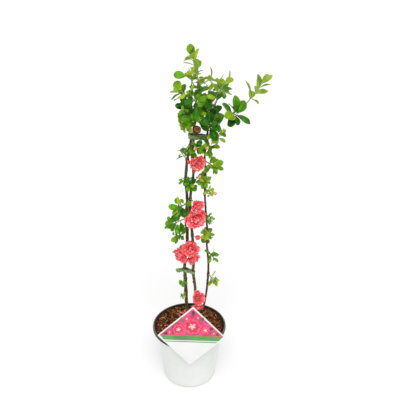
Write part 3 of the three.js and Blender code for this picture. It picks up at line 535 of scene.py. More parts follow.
def springing_curve(springs, height, reach, bow=0):
    """A curve that leaves a limb square to its flank, or runs on from its tip, and ends at reach."""
    curve, radius_at = limbs[springs]
    t = 1 if height is None else place_at_height(curve, height)
    start, along, end = curve.point(t), curve.tangent(t), np.array(reach, float)
    if height is None:
        out = along
        start = start + out * GAP
    else:
        out = square_to(along, end - start)
        start = start + out * (radius_at(t) + GAP)
    rise = start + out * np.linalg.norm(start - end) * ARCH
    settle = mix(end, start, ARCH) + UP * bow
    return bezier(start, rise, settle, end)


def limb_curve(spec):
    if spec.springs:
        return springing_curve(spec.springs, spec.height, spec.reach)
    points = [np.array(place, float) for place in spec.points]
    if spec.follows:
        before = limbs[spec.follows].curve
        start = before.point(1) + before.tangent(1) * GAP
        return spline([start, start + before.tangent(1) * FOLLOW_STEP, *points])
    return spline([points[0], points[0] + UP * UPRIGHT_FOOT, *points[1:]])


def grow_limb(spec):
    flare = FLARE if is_standing(spec) else 0

    def radius_at(t):
        return mix(spec.foot, spec.tip, t) * (1 + flare * math.exp(-t / FLARE_REACH))

    limbs[spec.name] = Shoot(limb_curve(spec), radius_at)
    take(tube_points(*limbs[spec.name], 8), spec.name)


# Leaves along a shoot
def leaf_blade(stem, t, spread, turn, length, width):
    """A leaf with its face to the sky, to the shoot's tip and away from the plant's middle."""
    foot, along = stem.point(t), stem.tangent(t)
    radial = spoke(along, turn)
    direction = unit(along * math.cos(spread) + radial * math.sin(spread) + UP * LEAF_LIFT)
    outward = unit(np.array([foot[0] - CROWN_MIDDLE_X, foot[1], 0]))
    normal = along * (FACE_TIP * math.sin(spread)) - radial * (FACE_TIP * math.cos(spread))
    normal = square_to(direction, normal + UP * FACE_SKY + outward * FACE_OUT)
    outline = SMALL_OUTLINE if length < SMALL_LEAF else LEAF_OUTLINE
    return Blade(foot, direction, normal, length, width, outline)


def grow_leaves(one, stem, count, first, random):
    """Leaves each turned by the golden angle from the last, and closer to the shoot near its tip."""
    blades = []
    for i in range(count):
        share = i / (count - 1) if count > 1 else 1
        t = mix(first, 1, share)
        spread = mix(WIDE_SPREAD, one.close, share) + jitter(random, SPREAD_JITTER)
        turn = one.turn + i * GOLDEN_ANGLE + jitter(random, TURN_JITTER)
        length = one.size * mix(1, TIP_LEAF, share) * (1 + jitter(random, LENGTH_JITTER))
        slimness = mix(ROUND_LEAF, SLIM_LEAF, one.young)
        width = length * slimness * (1 + jitter(random, WIDTH_JITTER))
        blades.append(leaf_blade(stem, t, math.radians(spread), math.radians(turn), length, width))
    return blades


def side_twig(stem, t, turn, spread, length):
    """A short twig that leaves the stem at t and turns up a little. Angles are in degrees."""
    start, along = stem.point(t), stem.tangent(t)
    spread = math.radians(spread)
    out = along * math.cos(spread) + spoke(along, math.radians(turn)) * math.sin(spread)
    end = start + out * length + UP * (BRANCH_RISE * length)
    return bezier(start, start + out * (length / 2), end)


def grow_branch(one, stem, index, random):
    t = mix(*BRANCH_PLACE, random())
    turn = one.turn + 90 + index * BRANCH_TURN + jitter(random, BRANCH_JITTER)
    curve = side_twig(stem, t, turn, BRANCH_SPREAD, stem.length() * BRANCH_LENGTH)
    return curve, grow_leaves(one, curve, BRANCH_LEAVES, BRANCH_FIRST_LEAF, random)


def grow_bloom(centre, facing, size, random):
    """A double flower's main petals."""
    petals = []
    for count, tilt, share in PETAL_RINGS:
        start = random() * 360
        for i in range(count):
            lean = math.radians(tilt + jitter(random, PETAL_TILT_JITTER))
            direction, normal = petal_lean(facing, math.radians(start + 360 * i / count), lean)
            length = size * share * (1 + jitter(random, PETAL_LENGTH_JITTER))
            petals.append(Blade(centre + direction * (size * PETAL_START), direction, normal, length,
                                length * PETAL_WIDTH, PETAL_OUTLINE))
    return Bloom(centre, facing, size, petals)


def grow_blooms(one, stem, random):
    """The flowers of a mass: one at the stem's tip, or several turned outward round it."""
    tip, along = stem.point(1), stem.tangent(1)
    if one.blooms == 1:
        return [grow_bloom(tip, along, one.bloom, random)]
    blooms = []
    for i in range(one.blooms):
        radial = spoke(along, math.radians(one.turn + 360 * i / one.blooms))
        centre = tip + radial * (one.bloom * CLUSTER_OFFSET)
        blooms.append(grow_bloom(centre, unit(along + radial * CLUSTER_TURN_OUT), one.bloom, random))
    return blooms


def stem_radii(one):
    return (STALK_FOOT, STALK_TIP) if one.blooms else (TWIG_FOOT, TWIG_TIP)


def mass_stem(one):
    foot, tip = stem_radii(one)
    curve = springing_curve(one.springs, one.height, one.reach, one.bow)
    return Shoot(curve, lambda t: mix(foot, tip, t))


def keep_free(blades, owner):
    """The blades that leave room for the limbs and for the masses before them."""
    kept = []
    for blade in blades:
        points = blade_points(blade)
        if is_free(points, owner):
            take(points, owner)
            kept.append(blade)
    return kept


def grow_mass(one, curve):
    random = seeded(one.seed)
    blooms = grow_blooms(one, curve, random)
    for bloom in blooms:
        keep_free(bloom.petals, one.name)
    first = FIRST_LEAF_BY_BLOOM if blooms else one.first
    blades = keep_free(grow_leaves(one, curve, one.leaves, first, random), one.name)
    twigs = []
    for i in range(one.branches):
        twig, leaves = grow_branch(one, curve, i, random)
        points = tube_points(twig, lambda t: mix(BRANCH_FOOT, TWIG_TIP, t), 3)
        if is_free(points, one.name):
            take(points, one.name)
            twigs.append(twig)
            blades += keep_free(leaves, one.name)
    return Grown(one, curve, blooms, blades, twigs, [], [])


# Finer twigs
def is_inside(points, low, high):
    return bool((points >= low).all() and (points <= high).all())


def meets_flower(points, blooms):
    """Whether any of the points lies in the round room that a flower takes."""
    for bloom in blooms:
        middle = bloom.centre + bloom.facing * (FLOWER_MIDDLE * bloom.size)
        if (np.linalg.norm(points - middle, axis=1) < FLOWER_ROOM * bloom.size).any():
            return True
    return False


def hides_view(points, margin=0):
    """Whether any of the points lies in front of a place that the photo shows open."""
    line = unit(np.array(VIEW_LINE))
    for place, radius in OPEN_VIEWS:
        offset = points - np.array(place)
        ahead = offset @ line
        aside = np.linalg.norm(offset - ahead[..., None] * line, axis=-1)
        if ((ahead > 0) & (aside < radius + margin)).any():
            return True
    return False


def is_shown(blade, blooms):
    """Whether a leaf is kept: it neither hides an open view nor stands in a flower's heart."""
    middle = blade.foot + blade.direction * (BLADE_MIDDLE * blade.length)
    return not hides_view(middle[None], VIEW_MARGIN) and all(
        np.linalg.norm(middle - bloom.centre) > HEART_ROOM * bloom.size for bloom in blooms)


def grow_spray(grown, fine, curve, room, random, blooms):
    """One finer twig with its leaves, where its path and each leaf find room."""
    leaves = grow_leaves(fine, curve, FINE_LEAVES, FINE_FIRST_LEAF, random)
    path = np.array(tube_points(curve, lambda t: FINE_FOOT, 3)[FINE_START:])
    if not len(path) or not is_inside(path, *room) or crowding(path, fine.name) > TWIG_CROWDING:
        return
    if meets_flower(path, blooms):
        return
    grown.fine_twigs.append(curve)
    for blade in leaves:
        points = np.array(blade_points(blade))
        clear = is_inside(points, *room) and not meets_flower(points, blooms)
        if clear and not hides_view(points) and crowding(points, fine.name) <= LEAF_CROWDING:
            take(points, fine.name + "_fine")
            grown.fine_blades.append(blade)


def grow_finer(grown, index, blooms):
    one = grown.mass
    random = seeded(FINE_SEED + index)
    low, high = (np.array(corner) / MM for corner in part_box(one.name))
    room = low - FINE_MARGIN, high + FINE_MARGIN
    fine = one._replace(size=one.size * FINE_SIZE, close=FINE_CLOSE, young=one.young * FINE_YOUNG)
    for i in range(one.sprays):
        t = mix(*FINE_PLACE, random())
        length = max(FINE_LENGTH * grown.curve.length(), FINE_SHORTEST)
        length *= mix(*FINE_LENGTH_SHARES, random())
        spread = BRANCH_SPREAD + jitter(random, FINE_SPREAD_JITTER)
        twig = side_twig(grown.curve, t, i * GOLDEN_ANGLE + one.turn + FINE_TURN, spread, length)
        turned = fine._replace(turn=one.turn + i * FINE_LEAF_TURN)
        grow_spray(grown, turned, twig, room, random, blooms)
    for t, turn, length in one.fills:
        twig = side_twig(grown.curve, t, turn, BRANCH_SPREAD, length)
        grow_spray(grown, fine._replace(turn=turn), twig, room, random, blooms)


# Paints
def gloss(level):
    return {"Specular IOR Level": level}


SOFT = {"Sheen Weight": 0.08, "Sheen Roughness": 0.5, **gloss(0.15)}
COATED = {"Coat Weight": 0.15, "Coat Roughness": 0.2}
FLAT = (0, 0, 0)
NOISE_STOPS = (0.36, 0.64)
PETAL_FINISH = (150, 0.6, (0.2, 700, 0.3), SOFT)
BUD_FINISH = (180, 0.5, (0.2, 700, 0.3), {})
CHIP_FINISH = ((0.7, 700, 0.5), gloss(0.2))
PRINT_FINISH = (0.35, FLAT, COATED)

# Each paint has a low and a high screen colour from 0 to 255, the scale of their play, the roughness,
# the relief's strength, scale and depth, and what the shader's other sockets hold.
PAINTS = {
    "bark": ((52, 43, 15), (108, 102, 46), 160, 0.72, (0.7, 900, 0.6), gloss(0.3)),
    "bark_brown": ((56, 25, 15), (104, 60, 38), 150, 0.68, (0.6, 900, 0.5), gloss(0.3)),
    "shoot_green": ((112, 140, 48), (158, 176, 78), 200, 0.55, (0.3, 900, 0.3), {}),
    "shoot_brown": ((104, 66, 42), (140, 104, 66), 200, 0.6, (0.4, 900, 0.3), {}),
    "lenticel": ((150, 132, 92), (176, 160, 118), 300, 0.8, (0.3, 900, 0.3), {}),
    "bud_scale": ((96, 46, 24), (140, 78, 40), 300, 0.5, (0.3, 900, 0.3), {}),
    "cut_wood": ((212, 104, 60), (244, 158, 108), 260, 0.7, (0.4, 1200, 0.3), {}),
    "cut_heart": ((160, 40, 16), (204, 76, 40), 300, 0.65, (0.4, 1200, 0.3), {}),
    "cut_bark": ((58, 20, 6), (104, 46, 20), 240, 0.7, (0.6, 900, 0.5), {}),
    "cut_edge": ((226, 196, 140), (240, 214, 164), 240, 0.7, (0.4, 900, 0.5), {}),
    # petal_deep is painted shade, laid on the petals' feet deep in each flower.
    "petal_deep": ((222, 24, 48), (238, 42, 62), *PETAL_FINISH),
    "petal_red": ((242, 50, 70), (252, 76, 88), *PETAL_FINISH),
    "petal_coral": ((252, 92, 102), (255, 120, 124), *PETAL_FINISH),
    "petal_light": ((255, 130, 134), (255, 156, 156), *PETAL_FINISH),
    "petal_edge": ((255, 172, 170), (255, 202, 198), *PETAL_FINISH),
    "bud_coral": ((206, 36, 62), (236, 92, 108), 180, 0.5, (0.25, 700, 0.3), SOFT),
    "bud_red": ((176, 16, 44), (206, 44, 68), 180, 0.5, (0.25, 700, 0.3), SOFT),
    "bud_peach": ((208, 96, 76), (238, 146, 112), *BUD_FINISH),
    "bud_cream": ((238, 176, 132), (252, 216, 176), *BUD_FINISH),
    "bud_russet": ((150, 70, 40), (190, 100, 54), *BUD_FINISH),
    "calyx": ((120, 132, 50), (156, 96, 56), 160, 0.5, (0.2, 700, 0.3), {}),
    "stamen": ((244, 206, 92), (252, 228, 140), 300, 0.6, FLAT, {}),
    "pot_pale": ((219, 222, 217), (226, 228, 226), 12, 0.38, (0.1, 260, 0.2), gloss(0.4)),
    "pot_black": ((22, 20, 18), (40, 37, 34), 30, 0.5, (0.3, 400, 0.2), gloss(0.2)),
    "pot_edge": ((92, 86, 80), (124, 118, 110), 40, 0.4, (0.3, 400, 0.2), gloss(0.3)),
    "soil_bed": ((34, 16, 5), (72, 38, 14), 120, 0.95, (1.0, 500, 1.5), gloss(0.2)),
    "chip_dark": ((56, 26, 8), (90, 46, 18), 160, 0.9, *CHIP_FINISH),
    "chip_brown": ((112, 62, 28), (142, 84, 42), 160, 0.88, *CHIP_FINISH),
    "chip_red": ((142, 76, 36), (174, 104, 58), 160, 0.88, *CHIP_FINISH),
    "chip_tan": ((174, 122, 78), (208, 160, 114), 160, 0.85, (0.6, 700, 0.5), gloss(0.2)),
    "tape": ((92, 126, 74), (158, 180, 126), 190, 0.6, (0.7, 500, 0.5), gloss(0.2)),
    "card_white": ((226, 227, 225), (232, 233, 231), 20, 0.35, (0.05, 500, 0.1), COATED),
    "card_ground": ((190, 36, 88), (228, 78, 130), 70, *PRINT_FINISH),
    "card_shade": ((50, 44, 50), (92, 62, 70), 70, *PRINT_FINISH),
    "card_rose": ((200, 32, 98), (226, 58, 118), 110, *PRINT_FINISH),
    "card_pink": ((226, 58, 104), (244, 98, 134), 110, *PRINT_FINISH),
    "card_blush": ((246, 160, 180), (252, 204, 212), 110, *PRINT_FINISH),
    "card_red": ((214, 24, 56), (236, 52, 82), 110, *PRINT_FINISH),
    "card_yellow": ((240, 204, 112), (250, 228, 158), 160, *PRINT_FINISH),
    "card_leaf": ((62, 84, 46), (112, 130, 70), 90, *PRINT_FINISH),
    "card_green": ((78, 142, 68), (94, 158, 82), 40, *PRINT_FINISH),
    "card_lime": ((96, 158, 78), (112, 172, 92), 40, *PRINT_FINISH),
}

# Leaf colours, and which of them the leaves along a shoot take in turn, for each kind of mass
LEAF_COLOURS = {
    "leaf_deep": (34, 92, 8), "leaf_dark": (44, 112, 8), "leaf_blue": (54, 116, 30),
    "leaf_green": (72, 134, 14), "leaf_mid": (96, 152, 14), "leaf_bright": (98, 170, 18),
    "leaf_fresh": (124, 166, 20), "leaf_lime": (150, 182, 34), "leaf_gold": (184, 196, 18),
    "leaf_pale": (174, 196, 76), "leaf_olive": (132, 156, 50)}
SPRAY_PAINTS = {
    "dark": "dark green deep dark blue",
    "core": "green deep mid dark fresh",
    "green": "mid green fresh green mid",
    # The dark leaves dealt in among the sunny and bright kinds stand for the shade between leaves there:
    # painted shade.
    "sunny": "bright gold dark bright mid fresh bright green bright",
    "bright": "green dark mid bright green bright bright mid",
    "fresh": "fresh mid lime mid olive",
    "lime": "lime fresh olive lime pale",
    "pale": "pale lime olive"}
UNDER_COLOUR = (156, 182, 104)
UNDER_SHARE = 0.25
RIB_COLOUR = (178, 200, 92)
RIB_SHARE = 0.3
LEAF_RELIEF = (0.15, 900, 0.2)
# Leaves play at random between a darker and a lighter tone; the width of this play is partly their own
# tone and partly painted sheen.
LEAF_TONE_AND_SHEEN = (0.76, 1.24)
UNDER_PLAY = (0.92, 1.06)
RIB_PLAY = (0.95, 1)
paints = {}


def colour(screen):
    """The shader's colour that shows as the given screen colour."""
    shares = [value / 255 for value in screen]
    return tuple(share / 12.92 if share <= 0.04045 else ((share + 0.055) / 1.055) ** 2.4
                 for share in shares) + (1,)


def tinted(base, amounts):
    """The colour made darker by each amount under 1, and lighter by each one over 1."""
    return [tuple(min(channel * amount, 1) for channel in base[:3]) + (1,) for amount in amounts]


def blend(one, other, share):
    return tuple(mix(a, b, share) for a, b in zip(one, other))


def paint(name, low, high, scale, roughness, relief, sockets):
    """A paint that plays softly between two colours, with fine relief."""
    paints[name] = bpy.data.materials.new(name)
    paints[name].use_nodes = True
    nodes, links = paints[name].node_tree.nodes, paints[name].node_tree.links
    shader = nodes["Principled BSDF"]
    place = nodes.new("ShaderNodeTexCoord")

    def node(kind, **values):
        made = nodes.new("ShaderNode" + kind)
        for socket, value in values.items():
            made.inputs[socket].default_value = value
        return made

    def noise(scale, detail):
        made = node("TexNoise", Scale=scale, Detail=detail)
        links.new(place.outputs["Object"], made.inputs["Vector"])
        return made.outputs["Fac"]

    for socket, value in {"Roughness": roughness, **sockets}.items():
        shader.inputs[socket].default_value = value
    ramp = node("ValToRGB")
    for stop, position, shade in zip(ramp.color_ramp.elements, NOISE_STOPS, (low, high)):
        stop.position = position
        stop.color = shade
    links.new(noise(scale, 4), ramp.inputs["Fac"])
    links.new(ramp.outputs["Color"], shader.inputs["Base Color"])
    strength, fineness, depth = relief
    if strength:
        raised = node("Bump", Strength=strength, Distance=depth * MM)
        links.new(noise(fineness, 6), raised.inputs["Height"])
        links.new(raised.outputs["Normal"], shader.inputs["Normal"])


def make_paints():
    for name, (low, high, *finish) in PAINTS.items():
        paint(name, colour(low), colour(high), *finish)
    for name, shown in LEAF_COLOURS.items():
        base = colour(shown)
        paint(name, *tinted(base, LEAF_TONE_AND_SHEEN), 110, 0.5, LEAF_RELIEF, gloss(0.15))
        pale = blend(base, colour(UNDER_COLOUR), UNDER_SHARE)
        paint(name + "_under", *tinted(pale, UNDER_PLAY), 60, 0.6, LEAF_RELIEF, gloss(0.1))
        rib = blend(base, colour(RIB_COLOUR), RIB_SHARE)
        paint(name + "_rib", *tinted(rib, RIB_PLAY), 120, 0.5, FLAT, gloss(0.15))


# Meshes
class Heap:
    """Points and faces gathered from many small shapes, each face with its paint."""

    def __init__(self):
        self.points = []
        self.faces = []
        self.face_paints = []
        self.count = 0

    def add(self, points, faces, face_paints):
        """One shape. face_paints is one paint's name, or a name for each face."""
        points = np.asarray(points, float).reshape(-1, 3)
        self.points.append(points)
        self.faces += [[self.count + i for i in face] for face in faces]
        self.face_paints += [face_paints] * len(faces) if isinstance(face_paints, str) else face_paints
        self.count += len(points)

    def build(self, name, slot, nodes, sharp):
        """The gathered shapes as one piece on the body, which stands for the nodes."""
        mesh = bpy.data.meshes.new(name)
        mesh.from_pydata((np.concatenate(self.points) * MM).tolist(), [], self.faces)
        used = sorted(set(self.face_paints))
        for paint_name in used:
            mesh.materials.append(paints[paint_name])
        numbers = {paint_name: i for i, paint_name in enumerate(used)}
        mesh.polygons.foreach_set("material_index", [numbers[n] for n in self.face_paints])
        mesh.shade_smooth()
        mesh.set_sharp_from_angle(angle=math.radians(sharp))
        mesh.update()
        piece = add_object(name, mesh)
        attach(piece, "root")
        if nodes:
            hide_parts(*nodes)


def add_object(name, data):
    made = bpy.data.objects.new(name, data)
    bpy.context.scene.collection.objects.link(made)
    return made


def turns(sides):
    """Angles evenly round a circle."""
    return TURN * np.arange(sides) / sides


def level_ring(radius, z, sides):
    """A level ring of points round the pot's axis."""
    turn = turns(sides)
    return np.stack([radius * np.cos(turn), radius * np.sin(turn), np.full(sides, z)], axis=-1)


def round_pairs(count):
    """Each number under the count with the next one round."""
    return [(i, (i + 1) % count) for i in range(count)]


def ring_faces(rings, sides):
    """Faces round a row of rings."""
    return [(row + j, row + k, row + sides + k, row + sides + j)
            for row in range(0, (rings - 1) * sides, sides) for j, k in round_pairs(sides)]


def add_loft(heap, rings, paint_name, side_paints=None):
    """A closed body through the rings, which turn to the right round the way they run."""
    count, sides = rings.shape[:2]
    points = np.concatenate([rings.reshape(-1, 3), rings[[0, -1]].mean(axis=1)])
    walls, pairs = ring_faces(count, sides), round_pairs(sides)
    last, foot, tip = (count - 1) * sides, count * sides, count * sides + 1
    caps = [(k, j, foot) for j, k in pairs] + [(last + j, last + k, tip) for j, k in pairs]
    names = side_paints or [paint_name] * len(walls)
    heap.add(points, walls + caps, names + [paint_name] * len(caps))


def tube_rings(curve, places, radii, sides):
    """Rings along a curve. radii holds one radius for each ring, or one for each ring and side."""
    centres = np.array([curve.point(min(max(t, 0), 1)) for t in places])
    tangents = np.array([curve.tangent(min(max(t, 0), 1)) for t in places])
    beyond = np.array([min(t, 0) + max(t - 1, 0) for t in places])
    centres = centres + tangents * (beyond * curve.length())[:, None]
    chord = unit(curve.point(1) - curve.point(0))
    reference = BACK if abs(chord[1]) < 0.6 else RIGHT
    across = np.cross(tangents, reference)
    across /= np.linalg.norm(across, axis=1)[:, None]
    over = np.cross(tangents, across)
    turn = turns(sides)[:, None]
    around = across[:, None] * np.cos(turn) + over[:, None] * np.sin(turn)
    return centres[:, None] + around * np.asarray(radii, float).reshape(len(places), -1, 1)


def add_tube(heap, curve, places, radii, sides, paint_name, side_paints=None):
    add_loft(heap, tube_rings(curve, places, radii, sides), paint_name, side_paints)


def add_twig(heap, curve, foot, tip, paint_name, sides=6, sunk=2.0):
    """A twig along the curve, its foot sunk into what carries it."""
    length = curve.length()
    steps = max(math.ceil(length / TWIG_STEP), 3)
    places = np.arange(steps + 1) / steps
    add_tube(heap, curve, [-sunk / length, *places], [foot, *mix(foot, tip, places)], sides, paint_name)


def sheet_faces(rows, columns):
    """Faces of a thin closed sheet, whose top and underside share their edge points."""
    top = np.arange(rows * columns).reshape(rows, columns)
    under = top.copy()
    inner = np.arange((rows - 2) * (columns - 2)).reshape(rows - 2, columns - 2)
    under[1:-1, 1:-1] = inner + rows * columns

    def quads(grid):
        corners = [grid[:-1, :-1], grid[1:, :-1], grid[1:, 1:], grid[:-1, 1:]]
        return np.stack(corners, axis=-1).reshape(-1, 4)

    return np.concatenate([quads(top), quads(under)[:, ::-1]]).tolist()


def add_sheet(heap, blade, out, aside, up, thickness, faces, face_paints):
    """A thin sheet, by how far its points lie out along the blade, aside and up from it."""
    side = np.cross(blade.normal, blade.direction)
    top = (blade.foot + out[..., None] * blade.direction + aside[..., None] * side
           + up[..., None] * blade.normal)
    top = np.clip(top, np.array(cad_low) / MM, np.array(cad_high) / MM)
    inner = np.broadcast_to(thickness, aside.shape)[1:-1, 1:-1, None]
    under = top[1:-1, 1:-1] - blade.normal * inner
    heap.add(np.concatenate([top.reshape(-1, 3), under.reshape(-1, 3)]), faces, face_paints)


def bent(rows, length, bend):
    """Places along a strip that bends evenly: how far out, and how far down."""
    steps = np.diff(rows, prepend=0) * length
    return np.cumsum(np.cos(bend * rows) * steps), -np.cumsum(np.sin(bend * rows) * steps)


# A leaf: its stalk, its blade with a pale rib, its fold, its waves and its curl
LEAF_ROWS = np.array([0, 0.07, 0.13, 0.18, 0.26, 0.36, 0.47, 0.58, 0.69, 0.79, 0.87, 0.93, 0.97, 1])
LEAF_HALVES = np.array([0.05, 0.05, 0.07, 0.2, 0.45, 0.7, 0.88, 0.98, 1, 0.92, 0.76, 0.57, 0.38, 0.06])
SLIM_HALVES = np.array([0.06, 0.06, 0.1, 0.26, 0.54, 0.78, 0.94, 1, 0.93, 0.76, 0.56, 0.36, 0.2, 0.03])
LEAF_COLUMNS = np.array([-1, -0.62, -0.28, -0.035, 0.035, 0.28, 0.62, 1])
LEAF_FACES = sheet_faces(len(LEAF_ROWS), len(LEAF_COLUMNS))
LEAF_NARROWING = 0.9
SLIM_SHARE = 0.5
LEAF_CURL = (0.05, 0.5)
SLIM_CURL = (0.05, 0.6)
LEAF_FOLD = (0.08, 0.42)
FOLD_POWER = 1.2
FOLD_EASE = 0.4
LEAF_WAVE = (0.02, 0.1)
LEAF_WAVES = 1.6
LEAF_TWIST = 0.3
STALK_END = 0.2
STALK_BLEND = 0.06
STALK_THICKNESS = 0.9
BLADE_THICKNESS = 0.35
FULL_LENGTH = 24


def leaf_face_paints(top):
    rows, columns = len(LEAF_ROWS) - 1, len(LEAF_COLUMNS) - 1
    upper = [top + "_rib" if j == columns // 2 and i < rows - 2 or i < 2 else top
             for i in range(rows) for j in range(columns)]
    return upper + [top + "_under"] * (rows * columns)


def add_leaf(heap, blade, paint_name, dice):
    slim = blade.width < SLIM_SHARE * blade.length
    rows, columns = LEAF_ROWS[:, None], LEAF_COLUMNS[None, :]
    half_width = blade.width * LEAF_NARROWING / 2
    out, down = bent(LEAF_ROWS, blade.length, dice.uniform(*(SLIM_CURL if slim else LEAF_CURL)))
    fold = dice.uniform(*LEAF_FOLD)
    wave = dice.uniform(*LEAF_WAVE) * half_width
    phase = dice.uniform(0, TURN)
    twist = dice.uniform(-LEAF_TWIST, LEAF_TWIST) * rows
    across = columns * (SLIM_HALVES if slim else LEAF_HALVES)[:, None] * half_width
    lift = fold * np.abs(across) ** FOLD_POWER * (1 - FOLD_EASE * rows)
    lift = lift + wave * np.sin(phase + TURN * LEAF_WAVES * rows + columns) * columns ** 2
    aside = across * np.cos(twist) - lift * np.sin(twist)
    up = down[:, None] + across * np.sin(twist) + lift * np.cos(twist)
    stalk = np.clip((STALK_END - rows) / STALK_BLEND, 0, 1)
    thickness = mix(BLADE_THICKNESS, STALK_THICKNESS, stalk) * min(blade.length / FULL_LENGTH, 1)
    add_sheet(heap, blade, out[:, None], aside, up, thickness, LEAF_FACES, leaf_face_paints(paint_name))


# A petal: cupped, with a frilled edge that is paler than its foot, whose deep red is painted shade
PETAL_ROWS = np.array([0, 0.12, 0.3, 0.5, 0.7, 0.86, 1])
PETAL_HALVES = np.array([0.18, 0.42, 0.78, 1, 1, 0.82, 0.36])
PETAL_COLUMNS = np.array([-1, -0.86, -0.68, -0.46, -0.22, 0, 0.22, 0.46, 0.68, 0.86, 1])
PETAL_FACES = sheet_faces(len(PETAL_ROWS), len(PETAL_COLUMNS))
PETAL_THICKNESS = 0.4
PETAL_WAVES = (4.5, 8)
PETAL_HOLLOW = 0.55
PETAL_NOTCH = 0.08


def petal_face_paints(deep, middle, edge):
    """Paints of a petal's faces: deep at its foot, a painted shade where the petals crowd, with an edge
    that is pale here and there.
    """
    rows, columns = len(PETAL_ROWS) - 1, len(PETAL_COLUMNS) - 1
    upper = []
    for i in range(rows):
        for j in range(columns):
            rim = i == rows - 1 or (i >= 3 and j in (0, columns - 1))
            upper.append(deep if i < 2 else edge if rim else middle)
    return upper + [deep if i < columns * 2 else middle for i in range(rows * columns)]


def add_petal(heap, petal, face_paints, cup, frill, dice):
    width = petal.width
    rows, columns = PETAL_ROWS[:, None], PETAL_COLUMNS[None, :]
    out, down = bent(PETAL_ROWS, petal.length, -cup)
    phase = dice.uniform(0, TURN)
    waves = dice.uniform(*PETAL_WAVES)
    across = columns * PETAL_HALVES[:, None] * width / 2
    rim = np.maximum(np.abs(columns), rows) ** 3
    lift = cup * PETAL_HOLLOW * across ** 2 / width
    lift = lift + frill * width * rim * np.sin(phase + waves * (columns + 0.6 * rows))
    notch = 1 - PETAL_NOTCH * np.cos(columns * math.pi / 2) * rows ** 4
    add_sheet(heap, petal, out[:, None] * notch, across, down[:, None] + lift, PETAL_THICKNESS,
              PETAL_FACES, face_paints)


# Flowers: petals in rings from the outside in, as count, tilt, length, cup and frill
FLOWER_RINGS = [
    (9, 84, 0.53, 0.3, 0.12), (8, 69, 0.5, 0.42, 0.13), (7, 53, 0.45, 0.5, 0.14),
    (6, 37, 0.4, 0.55, 0.15), (4, 18, 0.34, 0.55, 0.15)]
PETAL_SHARE = 0.72
PETAL_FOOT = 0.04
FLOWER_RANGES = {"turn": (-0.25, 0.25), "tilt": (-15, 13), "length": (0.76, 1.08),
                 "width": (0.9, 1.1), "cup": (0.8, 1.2), "frill": (0.8, 1.3)}
PETAL_SHADES = [petal_face_paints("petal_" + deep, "petal_" + middle, "petal_" + edge)
                for deep, middle, edge in (("deep", "coral", "light"), ("red", "light", "edge"),
                                           ("deep", "red", "light"), ("red", "coral", "edge"))]
STAMENS = 12
STAMEN_SPREAD = 0.05
STAMEN_HEIGHTS = (0.15, 0.2)
STAMEN_PLACES = [0, 0.5, 0.82, 0.86, 0.96, 1]
STAMEN_RADII = [0.25, 0.25, 0.25, 0.6, 0.6, 0.2]
CALYX_REACHES = (-0.16, -0.08, 0.02)
CALYX_NECK = 0.07
CALYX_BELLY = 0.1


def add_flower(blossom, green, bloom, dice):
    centre, facing, size = bloom.centre, bloom.facing, bloom.size

    def vary(quality):
        return dice.uniform(*FLOWER_RANGES[quality])

    for ring, (count, tilt, share, cup, frill) in enumerate(FLOWER_RINGS):
        start = dice.uniform(0, TURN)
        for i in range(count):
            turn = start + TURN * i / count + vary("turn")
            direction, normal = petal_lean(facing, turn, math.radians(tilt + vary("tilt")))
            length = size * share * vary("length")
            petal = Blade(centre + direction * (size * PETAL_FOOT), direction, normal, length,
                          length * PETAL_SHARE * vary("width"))
            shades = PETAL_SHADES[(i + ring) % len(PETAL_SHADES)]
            add_petal(blossom, petal, shades, cup * vary("cup"), frill * vary("frill"), dice)
    add_heart(blossom, green, centre, facing, size, dice)


def add_heart(blossom, green, centre, facing, size, dice):
    """The calyx behind a flower and the stamens in it."""
    back = bezier(*(centre + facing * (size * reach) for reach in CALYX_REACHES))
    radii = [1.2, size * CALYX_NECK, size * CALYX_BELLY, 1]
    add_tube(green, back, [0, 0.4, 0.8, 1], radii, 8, "calyx")
    for i in range(STAMENS):
        aside = STAMEN_SPREAD * size * math.sqrt((i + 1) / STAMENS)
        tip = centre + facing * (size * dice.uniform(*STAMEN_HEIGHTS))
        tip = tip + spoke(facing, i * math.radians(GOLDEN_ANGLE)) * aside
        stalk = bezier(centre, mix(centre, tip, 0.5), tip)
        add_tube(blossom, stalk, STAMEN_PLACES, STAMEN_RADII, 5, "stamen")


# Flower buds, with the paint of the petals' edges on each kind
BUD_EDGES = {"bud_peach": "bud_cream", "bud_coral": "petal_coral", "bud_red": "petal_red",
             "bud_russet": "bud_peach"}
BUD_LIGHT = 0.45
BUD_RINGS = 13
BUD_SIDES = 20
BUD_PETALS = 4
BUD_TWIST = 1.4
BUD_WRAP = 0.2
BUD_BACK = 0.5
BUD_FRONT = 0.6
BUD_FULLNESS = 0.42
BUD_POINT = 0.12

# Scales round a bud's foot: each pair is a share along the bud's facing and one out from it
SEPALS = 5
SEPAL_LENGTH = 0.55
SEPAL_WIDTH = 0.36
SEPAL_FOOT = (-0.52, 0.08)
SEPAL_WAY = (0.9, 0.55)
SEPAL_FACE = (0.5, -0.9)


